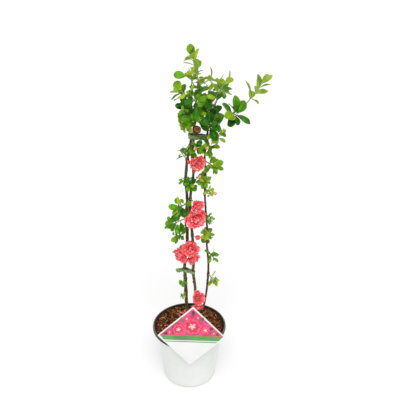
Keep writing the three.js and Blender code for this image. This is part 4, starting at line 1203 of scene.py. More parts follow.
def add_bud(heap, centre, facing, size, paint_name, dice):
    """A closed bud: wrapped petals on a small calyx of leafy scales."""
    axis = bezier(centre - facing * (BUD_BACK * size), centre, centre + facing * (BUD_FRONT * size))
    places = np.linspace(0, 1, BUD_RINGS)
    belly = np.sin(np.pi * places ** 0.8) ** 0.75 * BUD_FULLNESS * size + BUD_POINT
    turn = np.arange(BUD_SIDES) / BUD_SIDES
    wrap = (turn[None, :] * BUD_PETALS + places[:, None] * BUD_TWIST + dice.uniform(0, 1)) % 1
    shades = np.where(wrap[:-1] < BUD_LIGHT, BUD_EDGES[paint_name], paint_name)
    add_tube(heap, axis, places, belly[:, None] * (1 - BUD_WRAP * wrap), BUD_SIDES, paint_name,
             shades.reshape(-1).tolist())
    for i in range(SEPALS):
        radial = spoke(facing, TURN * i / SEPALS)
        direction = unit(facing * SEPAL_WAY[0] + radial * SEPAL_WAY[1])
        normal = square_to(direction, unit(facing * SEPAL_FACE[0] + radial * SEPAL_FACE[1]))
        foot = centre + facing * (SEPAL_FOOT[0] * size) + radial * (SEPAL_FOOT[1] * size)
        sepal = Blade(foot, direction, normal, SEPAL_LENGTH * size, SEPAL_WIDTH * size)
        add_petal(heap, sepal, "calyx", 0.5, 0.01, dice)


# Bark: one mesh for each limb, with ridges, swellings where a spur springs, scars and lenticels
BARK_SIDES = 20
BARK_STEP = 1.6
BARK_SUNK = 3
BARK_ROOTED = 4
BROWN_BARK = ("stem_right", "bough_right", "bough_back_right")
CUT_DEPTH = 3

# Ridges of the bark: the waves of each round the limb, their rate along it and their depth
RIDGES = [(2, 0.045, 0.05), (3, 0.11, 0.035), (5, 0.31, 0.022), (7, 0.83, 0.016)]

# Swellings, scars, lenticels and side buds
SWELLING = 0.9
SWELLING_REACH = 3.2
SCAR_STEP = 19
SCAR_JITTER = 0.3
SCAR_HEIGHT = 0.8
SCAR_REACH = 2.0
SCAR_BREADTH = 0.5
PORE_STEP = 5
PORE_PLACES = (0.01, 0.99)
PORE_LIFT = 1.02
PORE_LENGTHS = (0.4, 0.8)
PORE_RISE = 0.15
PORE_RADIUS = 0.28
BUDDED_LENGTH = 100
SIDE_BUD_ABOVE = 1.5
SIDE_BUD_OUT = (1.4, 2.6)
SIDE_BUD_UP = (1.6, 2.8)
SIDE_BUD_KNEE = 1.4
SIDE_BUD_RADII = [1.0, 1.25, 1.0, 0.55, 0.1]


def swellings(name):
    """Places on the limb, from 0 to 1, where something springs from it."""
    heights = [one.height for one in [*MASSES, *LIMBS] if one.springs == name and one.height]
    heights += [height for springs, height, *_ in BUDS if springs == name]
    return [place_at_height(limbs[name].curve, height) for height in heights]


def bark_radii(name, places, length, dice):
    turn = turns(BARK_SIDES)[None, :]
    run = (places * length)[:, None]
    radii = np.array([limbs[name].radius_at(min(max(t, 0), 1)) for t in places])[:, None]
    relief = 0 * turn * run
    for waves, rate, depth in RIDGES:
        relief = relief + depth * np.sin(waves * turn + rate * run + dice.uniform(0, TURN))
    radii = radii * (1 + relief)
    for t in swellings(name):
        radii = radii + SWELLING * np.exp(-((run - t * length) / SWELLING_REACH) ** 2)
    for i in range(1, int(length / SCAR_STEP)):
        along = (i + dice.uniform(-SCAR_JITTER, SCAR_JITTER)) * SCAR_STEP
        away = np.angle(np.exp(1j * (turn - i * math.radians(GOLDEN_ANGLE))))
        near = np.exp(-((run - along) / SCAR_REACH) ** 2 - (away / SCAR_BREADTH) ** 2)
        radii = radii + SCAR_HEIGHT * near
    return radii


def build_bark(spec, number):
    dice = np.random.default_rng(BARK_SEED + number)
    one = limbs[spec.name]
    length = one.curve.length()
    sunk = BARK_ROOTED if is_standing(spec) else BARK_SUNK
    end = 1 - CUT_DEPTH / length if spec.name == "pruned_stub" else 1
    places = np.linspace(-sunk / length, end, math.ceil(length / BARK_STEP))
    heap = Heap()
    add_tube(heap, one.curve, places, bark_radii(spec.name, places, length, dice), BARK_SIDES,
             "bark_brown" if spec.name in BROWN_BARK else "bark")
    add_lenticels(heap, one, length, dice)
    if length >= BUDDED_LENGTH:
        add_side_buds(heap, one, length, dice)
    heap.build(spec.name + "_bark", "bark", [spec.name], 60)


def add_lenticels(heap, one, length, dice):
    """Small pale pores that stand out of the bark."""
    for _ in range(int(length / PORE_STEP)):
        t, turn = dice.uniform(*PORE_PLACES), dice.uniform(0, TURN)
        along = one.curve.tangent(t)
        radial = spoke(along, turn)
        middle = one.curve.point(t) + radial * (one.radius_at(t) * PORE_LIFT)
        reach = np.cross(along, radial) * dice.uniform(*PORE_LENGTHS)
        pore = bezier(middle - reach, middle + radial * PORE_RISE, middle + reach)
        radii = [0.08, PORE_RADIUS, PORE_RADIUS, 0.08]
        add_tube(heap, pore, [0, 0.3, 0.7, 1], radii, 5, "lenticel")


def add_side_buds(heap, one, length, dice):
    """Small brown buds that sit on every other scar of the bark."""
    for i in range(2, int(length / SCAR_STEP), 2):
        t = (i * SCAR_STEP + SIDE_BUD_ABOVE) / length
        turn = i * math.radians(GOLDEN_ANGLE)
        along = one.curve.tangent(t)
        across = unit(np.cross(along, BACK))
        radial = across * math.cos(turn) + np.cross(along, across) * math.sin(turn)
        start = one.curve.point(t) + radial * one.radius_at(t)
        tip = start + radial * dice.uniform(*SIDE_BUD_OUT) + along * dice.uniform(*SIDE_BUD_UP)
        bud = bezier(start, start + radial * SIDE_BUD_KNEE, tip)
        add_tube(heap, bud, [0, 0.3, 0.6, 0.85, 1], SIDE_BUD_RADII, 8, "bud_scale")


# The cut end of the middle stem, as radii and heights from the cut
CUT_SIDES = 40
CUT_REACH = 4
CUT_BARK = [(7.0, -4), (9.0, -2.4), (9.6, -0.9), (9.2, 0), (7.6, 0), (6.9, -0.7)]
CUT_WOOD = [(6.9, -2), (6.9, -0.62), (6.2, -0.5), (5.7, -0.66), (5.0, -0.48), (4.4, -0.66),
            (3.6, -0.46), (3.0, -0.66), (2.0, -0.5), (1.0, -0.7)]
CUT_PITH = [(1.0, -2), (1.0, -0.7), (0.5, -0.5)]
HEART_RINGS = (4, 8)
# The wood's outer rings are painted pale cream on one side only, where the turn's sine passes EDGE_LIGHT:
# a painted highlight.
EDGE_RINGS = 3
EDGE_LIGHT = 0.4

# Waves of the cut end's outline: how many go round it, their phase and their depth
CUT_WAVES = [(3, 1, 0.04), (5, 0, 0.03)]


def build_cut_face():
    """A swollen ring of bark round the bare wood, whose outer rings carry a pale cream painted highlight
    on one side.
    """
    curve = limbs["pruned_stub"].curve
    end = curve.point(1)
    axis = bezier(end - curve.tangent(1) * CUT_REACH, end)
    turn = turns(CUT_SIDES)
    wobble = 1
    for waves, phase, depth in CUT_WAVES:
        wobble = wobble + depth * np.sin(waves * turn + phase)

    def rings(profile):
        radii, heights = np.array(profile).T
        return tube_rings(axis, 1 + heights / CUT_REACH, np.outer(radii, wobble), CUT_SIDES)

    def wood_paint(ring, side):
        if HEART_RINGS[0] <= ring < HEART_RINGS[1]:
            return "cut_heart"
        return "cut_edge" if ring < EDGE_RINGS and math.sin(turn[side]) > EDGE_LIGHT else "cut_wood"

    heap = Heap()
    add_loft(heap, rings(CUT_BARK), "cut_bark")
    faces = ring_faces(len(CUT_WOOD), CUT_SIDES)
    heap.add(rings(CUT_WOOD), faces, [wood_paint(*divmod(i, CUT_SIDES)) for i in range(len(faces))])
    add_loft(heap, rings(CUT_PITH), "cut_heart")
    heap.build("cut_wood", "bark", [], 50)


# Pot: a smooth shell, pale outside and black on its flange, inside and underneath, with a grey painted
# highlight round the rim's rounded top
POT_SIDES = 160
FOOT_RISE = 1.2
LIP_ROUND = 0.8
FLANGE_ROUND = 1.8
MOUTH_ROUND = 1.4


def wall_radius(z):
    slope = (WALL_TOP_RADIUS - WALL_FOOT_RADIUS) / (POT_HEIGHT - WALL_FOOT_HEIGHT)
    return WALL_FOOT_RADIUS + slope * (z - WALL_FOOT_HEIGHT)


def arc(x, y, radius, first, last, steps):
    """Points on a round, in degrees from the outward direction up."""
    angles = np.radians(np.linspace(first, last, steps))
    return [(x + radius * math.cos(angle), y + radius * math.sin(angle)) for angle in angles]


def pot_profile():
    """The pot's section from the underside round to the floor, as runs of points with a paint."""
    under_rim = POT_HEIGHT - FLANGE_THICKNESS - 0.2
    lip_foot = POT_HEIGHT - LIP_DEPTH
    lip_inside = RIM_RADIUS - WALL
    outside = MOUTH_RADIUS + WALL
    neck, neck_top = wall_radius(NECK_HEIGHT), NECK_HEIGHT + NECK_RISE
    edge = (RIM_RADIUS - FLANGE_ROUND, POT_HEIGHT - FLANGE_ROUND, FLANGE_ROUND)
    foot = [(0.5, FOOT_RISE), (40, FOOT_RISE), (43, 0), (FLAT_RADIUS, 0)]
    wall = [(65.2, 0.9), (67, 2.6), (68, 5)]
    wall += [(wall_radius(z), z) for z in np.linspace(WALL_FOOT_HEIGHT, NECK_HEIGHT - 2, 14)]
    widen = [(neck, NECK_HEIGHT), (outside - 0.6, neck_top - 0.4), (outside, neck_top),
             (outside, under_rim), (lip_inside, under_rim), (lip_inside, lip_foot + 0.4)]
    widen += arc(RIM_RADIUS - LIP_ROUND, lip_foot + LIP_ROUND, LIP_ROUND, 200, 360, 6)
    widen += arc(*edge, 0, 35, 5)
    # The rim's rounded top is painted grey all round: a painted highlight on the black plastic.
    lip = arc(*edge, 45, 90, 4) + [(RIM_RADIUS - 3.4, POT_HEIGHT)]
    inside = arc(MOUTH_RADIUS + MOUTH_ROUND, POT_HEIGHT - MOUTH_ROUND, MOUTH_ROUND, 90, 180, 6)
    inside += [(MOUTH_RADIUS, neck_top + WALL / 2), (neck - WALL, NECK_HEIGHT + WALL / 2)]
    inside += [(wall_radius(z) - WALL, z) for z in np.linspace(NECK_HEIGHT - 6, WALL_FOOT_HEIGHT, 7)]
    inside += [(FLAT_RADIUS + 1, FLOOR + 1), (FLAT_RADIUS - 2, FLOOR), (0.5, FLOOR)]
    return [(foot, "pot_black"), (wall, "pot_pale"), (widen, "pot_black"), (lip, "pot_edge"),
            (inside, "pot_black")]


def build_pot():
    rows = [(*point, name) for run, name in pot_profile() for point in run]
    rings = [level_ring(radius, z, POT_SIDES) for radius, z, _ in rows]
    names = [name for *_, name in rows[1:] for _ in range(POT_SIDES)]
    last = (len(rows) - 1) * POT_SIDES
    ends = [range(POT_SIDES)[::-1], range(last, last + POT_SIDES)]
    heap = Heap()
    heap.add(rings, ring_faces(len(rows), POT_SIDES) + ends, names + ["pot_black"] * 2)
    heap.build("pot_shell", "pot", ["pot"], 35)


# Growing mix: a rough bed whose waves have two rates, a phase and a depth
BED_RINGS = 36
BED_SIDES = 120
BED_WAVES = [(0.21, 0.13, 0.0, 0.9), (-0.17, 0.24, 1.7, 0.8), (0.43, -0.31, 0.6, 0.5),
             (0.62, 0.55, 2.9, 0.35), (-0.83, 0.71, 4.1, 0.25)]
BED_EDGE = MOUTH_RADIUS - 0.8
BED_SHOULDER = 6
BED_RIM_RISE = 1.2
BED_FOOT = FLOOR + 8

# Loose bark chips on the bed
CHIPS = 1300
CHIP_LENGTHS = (3, 16)
CHIP_SHORTNESS = 1.6
CHIP_RANGES = {"rise": (-0.35, 0.35), "lift": (0, 1.8), "aside": (-0.3, 0.3), "arch": (-0.1, 0.28),
               "width": (1, 2.9), "depth": (0.35, 0.9)}
CHIP_RAGGED = (0.8, 1.2)
CHIP_TAPER = [0.45, 0.9, 1, 0.95, 0.5]
CHIP_PLACES = [0, 0.2, 0.5, 0.8, 1]
CHIP_SIDES = 6
CHIP_SINK = 0.8
CHIP_SHARES = {"chip_dark": 0.24, "chip_brown": 0.42, "chip_red": 0.2, "chip_tan": 0.14}
STEM_ROOM = 5

# Fallen petals, by place and size
FALLEN_PETALS = [(-17, 54, 15), (-9, 48, 12), (-23, 49, 10), (-14, 41, 9), (26, 46, 8)]
FALLEN_HEIGHT = 3.4
FALLEN_WIDTH = 0.8
FALLEN_CUP = 0.5
FALLEN_FRILL = 0.08


def bed_height(x, y):
    return sum(depth * np.sin(a * x + b * y + phase) for a, b, phase, depth in BED_WAVES)


def bed_ring(radius):
    ring = level_ring(radius, SOIL_TOP, BED_SIDES)
    inward = min((BED_EDGE - radius) / BED_SHOULDER, 1)
    ring[:, 2] += mix(BED_RIM_RISE, -BED_RIM_RISE, inward) + bed_height(ring[:, 0], ring[:, 1]) * inward
    return ring


def build_soil():
    rings = [level_ring(wall_radius(foot) - WALL - GAP, height, BED_SIDES)
             for foot, height in ((BED_FOOT, BED_FOOT), (NECK_HEIGHT, NECK_HEIGHT + BED_RIM_RISE))]
    rings += [bed_ring(radius) for radius in np.linspace(1, BED_EDGE, BED_RINGS)[::-1]]
    bed = Heap()
    add_loft(bed, np.array(rings), "soil_bed")
    bed.build("soil_bed", "soil", ["soil"], 60)
    chips = Heap()
    dice = np.random.default_rng(CHIP_SEED)
    for _ in range(CHIPS):
        add_chip(chips, dice)
    chips.build("bark_chips", "soil", [], 20)


def add_chip(heap, dice):
    """A splinter of bark that lies on the bed, clear of the stems."""

    def vary(quality):
        return dice.uniform(*CHIP_RANGES[quality])

    length = mix(*CHIP_LENGTHS, dice.uniform(0, 1) ** CHIP_SHORTNESS)
    distance = math.sqrt(dice.uniform(0, 1)) * (BED_EDGE - 1 - length / 2)
    around = dice.uniform(0, TURN)
    x, y = distance * math.cos(around), distance * math.sin(around)
    feet = [spec.points[0] for spec in LIMBS if is_standing(spec)]
    if min(math.hypot(x - foot[0], y - foot[1]) for foot in feet) < STEM_ROOM + length / 2:
        return
    heading = dice.uniform(0, TURN)
    rise = vary("rise")
    along = np.array([math.cos(heading) * math.cos(rise), math.sin(heading) * math.cos(rise),
                      math.sin(rise)])
    middle = np.array([x, y, SOIL_TOP - CHIP_SINK + bed_height(x, y) + vary("lift")])
    aside = np.cross(along, UP) * vary("aside") * length
    bend = UP * vary("arch") * length + aside
    spine = bezier(middle - along * length / 2, middle + bend, middle + along * length / 2)
    width, depth = vary("width"), vary("depth")
    turn = turns(CHIP_SIDES)
    profile = np.sqrt((width * np.cos(turn)) ** 2 + (depth * np.sin(turn)) ** 2)
    radii = np.outer(CHIP_TAPER, profile) * dice.uniform(*CHIP_RAGGED, (len(CHIP_TAPER), CHIP_SIDES))
    shade = dice.choice(list(CHIP_SHARES), p=list(CHIP_SHARES.values()))
    add_tube(heap, spine, CHIP_PLACES, radii, CHIP_SIDES, str(shade))


# Label card: a thin plate with a hook, and a plain picture of blossom laid on it in thin layers
CARD_BACK = -(RIM_RADIUS + GAP)
PLATE_THICKNESS = 0.55
PRINT_BACK = 0.4
PRINT_LAYER = 0.005
PICTURE_EDGE = 78
PICTURE_FOOT = 1.5
BAND_EDGE = 79.5
CORNER_STEPS = 6
PICTURE_LEAF_BREADTH = 0.5
HALF_DIAGONAL = CARD_SIDE / math.sqrt(2)

# Bands by top, foot and paint, leaves by place, size and turn, and flowers by place, size and start
BANDS = [(PICTURE_FOOT, -12, "card_green"), (-14.5, -17.5, "card_lime")]
PICTURE_LEAVES = [
    ((-70, 3), 17, 24), ((70, 3), 18, 152), ((-52, 24), 16, 8), ((54, 22), 16, 172),
    ((-24, 38), 15, 100), ((24, 40), 15, 86), ((0, 58), 14, 80), ((-14, 3), 13, 60),
    ((16, 3), 14, 118), ((-45, 4), 12, 80), ((46, 4), 12, 96)]
SIDE_FLOWERS = [((-33, 18.5), 15.5, 20), ((33, 18), 15, 50), ((-14, 49.5), 9.5, 10),
                ((13, 53), 8, 0), ((-54, 10), 7, 40), ((54, 10), 7, 15)]
MAIN_FLOWER = ((0, 28), 24, 54)

# How the picture's flowers are made up: their layers, rings, petals, streaks and spots
SIDE_LEVEL, MAIN_LEVEL = 3, 41
PICTURE_TONES = [("card_pink", "card_red", "card_rose", "card_blush"),
                 ("card_rose", "card_pink", "card_red", "card_blush")]
PICTURE_RINGS = [(7, 1), (6, 0.74), (5, 0.5)]
RING_TURN = 31
MIDDLE_RADIUS = 0.13
MIDDLE_SPOTS = 11
SPOT_RADIUS = 0.035
TURN_RANGE = (-0.15, 0.15)
LENGTH_RANGE = (0.84, 1)
STREAK_RANGE = (-0.12, 0.12)
SPOT_RANGE = (0.18, 0.3)
PETAL_BREADTH = 0.86
STREAK_LENGTH = 0.86
STREAK_BREADTH = 0.34


def rounded(corners, radius):
    """A polygon whose corners are rounded off."""
    corners = [np.array(corner, float) for corner in corners]
    points = []
    for before, corner, after in zip(corners[-1:] + corners, corners, corners[1:] + corners):
        start = corner + unit(before - corner) * radius
        end = corner + unit(after - corner) * radius
        bend = bezier(start, corner, end)
        points += [bend.point(t) for t in np.linspace(0, 1, CORNER_STEPS)]
    return points


def turned(points, angle, centre=(0, 0)):
    """Points of a plane, turned to the left about its origin and then moved to the centre."""
    x, y = np.asarray(points, float).T
    return np.stack([centre[0] + x * math.cos(angle) - y * math.sin(angle),
                     centre[1] + x * math.sin(angle) + y * math.cos(angle)], axis=-1)


def circle(centre, radius, steps=24):
    return level_ring(radius, 0, steps)[:, :2] + centre


def petal_shape(centre, turn, length, width):
    """A rounded petal's outline, from the flower's centre outward."""
    angle = turns(20)
    u = 0.55 - 0.45 * np.cos(angle)
    v = np.sin(angle) * (0.35 + 0.25 * u) * width
    return turned(np.stack([u * length, v], axis=-1), turn, centre)


def card_outline(half):
    """A square on its corner with the hole for hanging."""
    hole = circle((0, HALF_DIAGONAL - CARD_HOLE_DROP), CARD_HOLE_RADIUS)
    return [rounded([(half, 0), (0, half), (-half, 0), (0, -half)], CARD_CORNER), hole]


def plate_mesh(outlines, thickness):
    """Points and faces of a flat plate with holes, from closed outlines in its plane."""
    curve = bpy.data.curves.new("plate", "CURVE")
    curve.dimensions = "2D"
    curve.fill_mode = "BOTH"
    curve.extrude = thickness / 2
    for outline in outlines:
        line = curve.splines.new("POLY")
        line.points.add(len(outline) - 1)
        for point, (x, y) in zip(line.points, outline):
            point.co = (x, y, 0, 1)
        line.use_cyclic_u = True
    holder = add_object("plate", curve)
    depsgraph = bpy.context.evaluated_depsgraph_get()
    mesh = bpy.data.meshes.new_from_object(holder.evaluated_get(depsgraph))
    points = [tuple(vertex.co) for vertex in mesh.vertices]
    faces = [tuple(polygon.vertices) for polygon in mesh.polygons]
    bpy.data.objects.remove(holder)
    bpy.data.curves.remove(curve)
    bpy.data.meshes.remove(mesh)
    return np.array(points), faces


def add_plate(heap, outlines, back, front, paint_name):
    """A plate in the card's plane, between two depths in front of its back."""
    points, faces = plate_mesh([turned(outline, -CARD_ROLL) for outline in outlines], front - back)
    x, rise, depth = (points + [CARD_CENTRE_X, CARD_RISE, (front + back) / 2]).T
    y = CARD_BACK + rise * math.sin(CARD_LEAN) - depth * math.cos(CARD_LEAN)
    z = POT_HEIGHT + GAP + rise * math.cos(CARD_LEAN) + depth * math.sin(CARD_LEAN)
    heap.add(np.stack([x, y, z], axis=-1), faces, paint_name)


def lay(heap, level, outlines, paint_name):
    """A shape of the picture, a hair in front of those on the levels below."""
    add_plate(heap, outlines, PRINT_BACK, PLATE_THICKNESS + PRINT_LAYER * level, paint_name)


def add_picture_flower(heap, level, centre, size, start, tones, dice):
    """Rings of uneven petals, each with a paler streak, round a yellow middle."""
    for ring, (count, share) in enumerate(PICTURE_RINGS):
        for i in range(count):
            turn = math.radians(start + 360 * i / count + RING_TURN * ring)
            turn += dice.uniform(*TURN_RANGE)
            length = size * share * dice.uniform(*LENGTH_RANGE)
            aside = turn + dice.uniform(*STREAK_RANGE)
            petal = petal_shape(centre, turn, length, length * PETAL_BREADTH)
            streak = petal_shape(centre, aside, length * STREAK_LENGTH, length * STREAK_BREADTH)
            lay(heap, level + 1, [petal], tones[ring])
            level += 2
            lay(heap, level, [streak], tones[ring + 1])
    lay(heap, level + 1, [circle(centre, MIDDLE_RADIUS * size, 16)], "card_yellow")
    for i in range(MIDDLE_SPOTS):
        spot = turned([(size * dice.uniform(*SPOT_RANGE), 0)], TURN * i / MIDDLE_SPOTS, centre)[0]
        lay(heap, level + 3, [circle(spot, SPOT_RADIUS * size, 8)], "card_yellow")


def build_card():
    plate = Heap()
    add_plate(plate, card_outline(HALF_DIAGONAL), 0, PLATE_THICKNESS, "card_white")
    add_hook(plate)
    plate.build("card_plate", "card", ["label_card"], 30)
    dice = np.random.default_rng(PICTURE_SEED)
    picture = Heap()
    ground = [(-PICTURE_EDGE, PICTURE_FOOT), (PICTURE_EDGE, PICTURE_FOOT), (0, PICTURE_EDGE)]
    lay(picture, 1, [rounded(ground, 1), card_outline(HALF_DIAGONAL)[1]], "card_ground")
    for i, (centre, size, turn) in enumerate(PICTURE_LEAVES):
        shape = petal_shape(centre, math.radians(turn), size, size * PICTURE_LEAF_BREADTH)
        lay(picture, 2 + i % 2, [shape], "card_leaf" if i % 3 else "card_shade")
    for i, flower in enumerate([*SIDE_FLOWERS, MAIN_FLOWER]):
        level = MAIN_LEVEL if flower is MAIN_FLOWER else SIDE_LEVEL
        add_picture_flower(picture, level, *flower, PICTURE_TONES[i % 2], dice)
    for level, (top, foot, tone) in enumerate(BANDS, 1):
        upper, lower = BAND_EDGE - abs(top), BAND_EDGE - abs(foot)
        lay(picture, level, [[(-upper, top), (upper, top), (lower, foot), (-lower, foot)]], tone)
    picture.build("card_picture", "card", [], 30)


def add_hook(heap):
    """The card's own strap, which laps over the flange and down inside the mouth."""
    half = HOOK_WIDTH / 2
    lap_end = HOOK_THICKNESS + 2 * GAP - math.sqrt(MOUTH_RADIUS ** 2 - (half + CARD_CENTRE_X) ** 2)
    inner = lap_end - HOOK_THICKNESS
    foot, low = POT_HEIGHT + GAP, POT_HEIGHT + GAP - HOOK_DROP
    top = foot + HOOK_THICKNESS
    outline = [(CARD_BACK - 0.5, foot), (CARD_BACK - 0.5, top), (lap_end - 1, top),
               (lap_end - 0.3, top - 0.3), (lap_end, top - 1), (lap_end, low), (inner, low),
               (inner, foot)]
    points = [(CARD_CENTRE_X + side, y, z) for side in (-half, half) for y, z in outline]
    count = len(outline)
    ends = [range(count)[::-1], range(count, 2 * count)]
    heap.add(points, ring_faces(2, count) + ends, "card_white")


# Ties: a band of soft tape drawn round two rounds, each a centre and a radius
BELT_STEPS = 28
BELT_STEP = 1.2
BELT_ROWS = 9
BELT_ROLL = 0.4
BELT_ROLLS = 8
BELT_FULLNESS = 0.88
BELT_FRAY = 0.2
BELT_NOTCHES = 5
BELT_INSIDE = 0.05
BELT_INNER_SHARE = 0.94

# Creases of the belt: the waves of each round it, their turn over its width, phase and depth
CREASES = [(3, 2.5, 0, 0.4), (11, 4, 1, 0.3), (23, -7, 0, 0.22)]

# Ribbons and knots
RIBBON_STEPS = 18
RIBBON_SIDES = 12
RIBBON_THICKNESS = 1.2
RIBBON_CREASE = 0.45
RIBBON_FULLNESS = 0.9
RIBBON_FRAY = 0.2
KNOT_RINGS = 11
KNOT_SIDES = 18
KNOT_FULLNESS = 0.85
KNOT_CREASE = 0.12
KNOT_SUNK = 2
LOWER_KNOT_SIZE = 3.6
LOWER_KNOT_FORWARD = 1.5
UPPER_KNOT_SIZE = 3.4
UPPER_KNOT_FORWARD = 3.5
UPPER_KNOT_PLACE = 0.7

# The upper tie's second wrap and its loose end
WRAP_LIFT = 0.8
WRAP_WIDTH = 0.6
WRAP_SLOPE = 3
END_WIDTH = 7
END_TWIST = 0.8
END_CORNERS = [(0, 0, 0), (6, -4, 2), (12, -3, -7)]

# Folds of the lower tie's loose end: rise, reach as a share of the tail, fall and twist
TAIL_FOLDS = [(2.5, 0.45, 6, -0.6), (-1.5, 0.7, 3, 1.1), (4, 0.3, 2, 0.4)]
TAIL_TWIST = 0.7
FOLD_BULGE = 1.6
FOLD_END = 0.15
FOLD_WIDTH = 0.75


def stem_at(name, height):
    """A limb's centre and radius at a height."""
    one = limbs[name]
    t = place_at_height(one.curve, height)
    return one.curve.point(t), one.radius_at(t)


def take_tie(name, rounds, height, width):
    for centre, radius in rounds:
        ends = [np.array([*centre[:2], height + side * width / 2]) for side in (-1, 1)]
        take(tube_points(bezier(*ends), lambda t: radius + TAPE_THICKNESS, 12), name)
    return rounds


def grow_lower_tie():
    rounds = [stem_at(name, LOWER_TIE_HEIGHT) for name in ("stem_left", "stem_middle")]
    rounds = [(centre, radius + TAPE_SLACK) for centre, radius in rounds]
    return take_tie("tie_lower", rounds, LOWER_TIE_HEIGHT, LOWER_TIE_WIDTH)


def grow_upper_tie():
    one, one_radius = stem_at("stem_left", UPPER_TIE_HEIGHT)
    two, _ = stem_at("stem_middle", UPPER_TIE_HEIGHT)
    right, right_radius = stem_at("stem_right", UPPER_TIE_HEIGHT)
    left_radius = np.linalg.norm(one - two) / 2 + one_radius + TAPE_SLACK
    rounds = [((one + two) / 2, left_radius), (right, right_radius + TAPE_SLACK)]
    return take_tie("tie_upper", rounds, UPPER_TIE_HEIGHT, UPPER_TIE_WIDTH)


def belt_path(rounds):
    """Points round two rounds and the straight runs between them, each with its heading outward."""
    (left, left_radius), (right, right_radius) = rounds
    run = math.hypot(*(right - left)[:2])
    heading = math.atan2(right[1] - left[1], right[0] - left[0])
    meet = math.acos((left_radius - right_radius) / run)
    stretches = [(left, left_radius, meet, TURN - meet, BELT_STEPS),
                 (right, right_radius, -meet, meet, BELT_STEPS // 2)]
    places = [np.array([*turned([(radius, 0)], angle, centre)[0], angle])
              for centre, radius, first, last, steps in stretches
              for angle in heading + np.linspace(first, last, steps)]
    path = []
    for here, after in zip(places, places[1:] + places[:1]):
        after = np.array([*after[:2], here[2] + math.remainder(after[2] - here[2], TURN)])
        count = max(int(np.hypot(*(after - here)[:2]) / BELT_STEP), 1)
        path += [mix(here, after, k / count) for k in range(count)]
    return np.array(path)


def add_belt(heap, rounds, width, height, slope, dice):
    path = belt_path(rounds)
    count, flat = len(path), np.array([1, 1, 0])
    outward = np.stack([np.cos(path[:, 2]), np.sin(path[:, 2]), np.zeros(count)], axis=-1)
    left, right = rounds[0][0], rounds[1][0]
    centres = path * flat + UP * height
    along = (centres - (left + right) / 2 * flat) @ unit((right - left) * flat)
    centres[:, 2] += along * math.tan(math.radians(slope))
    place = turns(count)
    rings = []
    for share in np.linspace(-1, 1, BELT_ROWS):
        crease = BELT_ROLL * math.cos(share * BELT_ROLLS)
        for waves, turn, phase, depth in CREASES:
            crease = crease + depth * np.sin(waves * place + turn * share + phase)
        fray = BELT_FRAY * np.sin(BELT_NOTCHES * place + dice.uniform(0, TURN)) * abs(share)
        rise = share * width / 2 * (BELT_FULLNESS + fray)
        rings.append(centres + outward * (TAPE_THICKNESS + crease)[:, None] + UP * rise[:, None])
    rings += [centres + outward * BELT_INSIDE + UP * (share * width / 2 * BELT_INNER_SHARE)
              for share in np.linspace(1, -1, BELT_ROWS)]
    total = len(rings)
    faces = [(i * total + j, k * total + j, k * total + m, i * total + m)
             for i, k in round_pairs(count) for j, m in round_pairs(total)]
    heap.add(np.array(rings).transpose(1, 0, 2), faces, "tape")


def add_ribbon(heap, curve, width, dice, twist):
    """A loose end of tape along a curve."""
    rings = []
    for t in np.arange(RIBBON_STEPS + 1) / RIBBON_STEPS:
        centre, along = curve.point(t), curve.tangent(t)
        side = unit(np.cross(along, UP))
        broad = np.cross(side, along) * math.cos(twist * t) + side * math.sin(twist * t)
        fray = RIBBON_FRAY * math.sin(9 * t + dice.uniform(0, 0.9))
        half = width / 2 * (RIBBON_FULLNESS + fray)
        turn = turns(RIBBON_SIDES)[:, None]
        thick = (RIBBON_THICKNESS / 2 + RIBBON_CREASE * np.sin(3 * turn + 11 * t)) * np.sin(turn)
        rings.append(centre + broad * half * np.cos(turn) + np.cross(along, broad) * thick)
    add_loft(heap, np.array(rings), "tape")


def add_knot(heap, centre, size, dice):
    """A small creased knot of tape."""
    places = np.linspace(0, 1, KNOT_RINGS)[:, None]
    belly = np.sqrt(np.maximum(1 - (2 * places - 1) ** 2, 0.02)) * size * KNOT_FULLNESS
    creases = 1 + KNOT_CREASE * np.sin(3 * turns(KNOT_SIDES) + 9 * places + dice.uniform(0, TURN))
    axis = bezier(centre - UP * size, centre, centre + UP * size)
    add_tube(heap, axis, places[:, 0], belly * creases, KNOT_SIDES, "tape")


def build_lower_tie(rounds, dice):
    heap = Heap()
    add_belt(heap, rounds, LOWER_TIE_WIDTH, LOWER_TIE_HEIGHT, 0, dice)
    left, left_radius = rounds[0]
    knot = left - RIGHT * (left_radius + TAPE_THICKNESS)
    knot[2] = LOWER_TIE_HEIGHT
    reach = RIGHT * LOWER_TIE_TAIL
    forward = BACK * LOWER_TIE_FORWARD
    run = bezier(knot + RIGHT * KNOT_SUNK, knot - reach / 3 - forward + UP * LOWER_TIE_HUMP,
                 knot - reach - forward)
    add_ribbon(heap, run, LOWER_TIE_WIDTH, dice, TAIL_TWIST)
    for rise, share, fall, twist in TAIL_FOLDS:
        fold = bezier(knot + RIGHT * KNOT_SUNK + UP * rise,
                      knot - reach * share - forward * FOLD_BULGE + UP * rise,
                      knot - reach * (share + FOLD_END) - forward * 0.5 - UP * fall)
        add_ribbon(heap, fold, LOWER_TIE_WIDTH * FOLD_WIDTH, dice, twist)
    add_knot(heap, knot - BACK * LOWER_KNOT_FORWARD, LOWER_KNOT_SIZE, dice)
    heap.build("tape_lower", "tape", ["tie_lower"], 50)


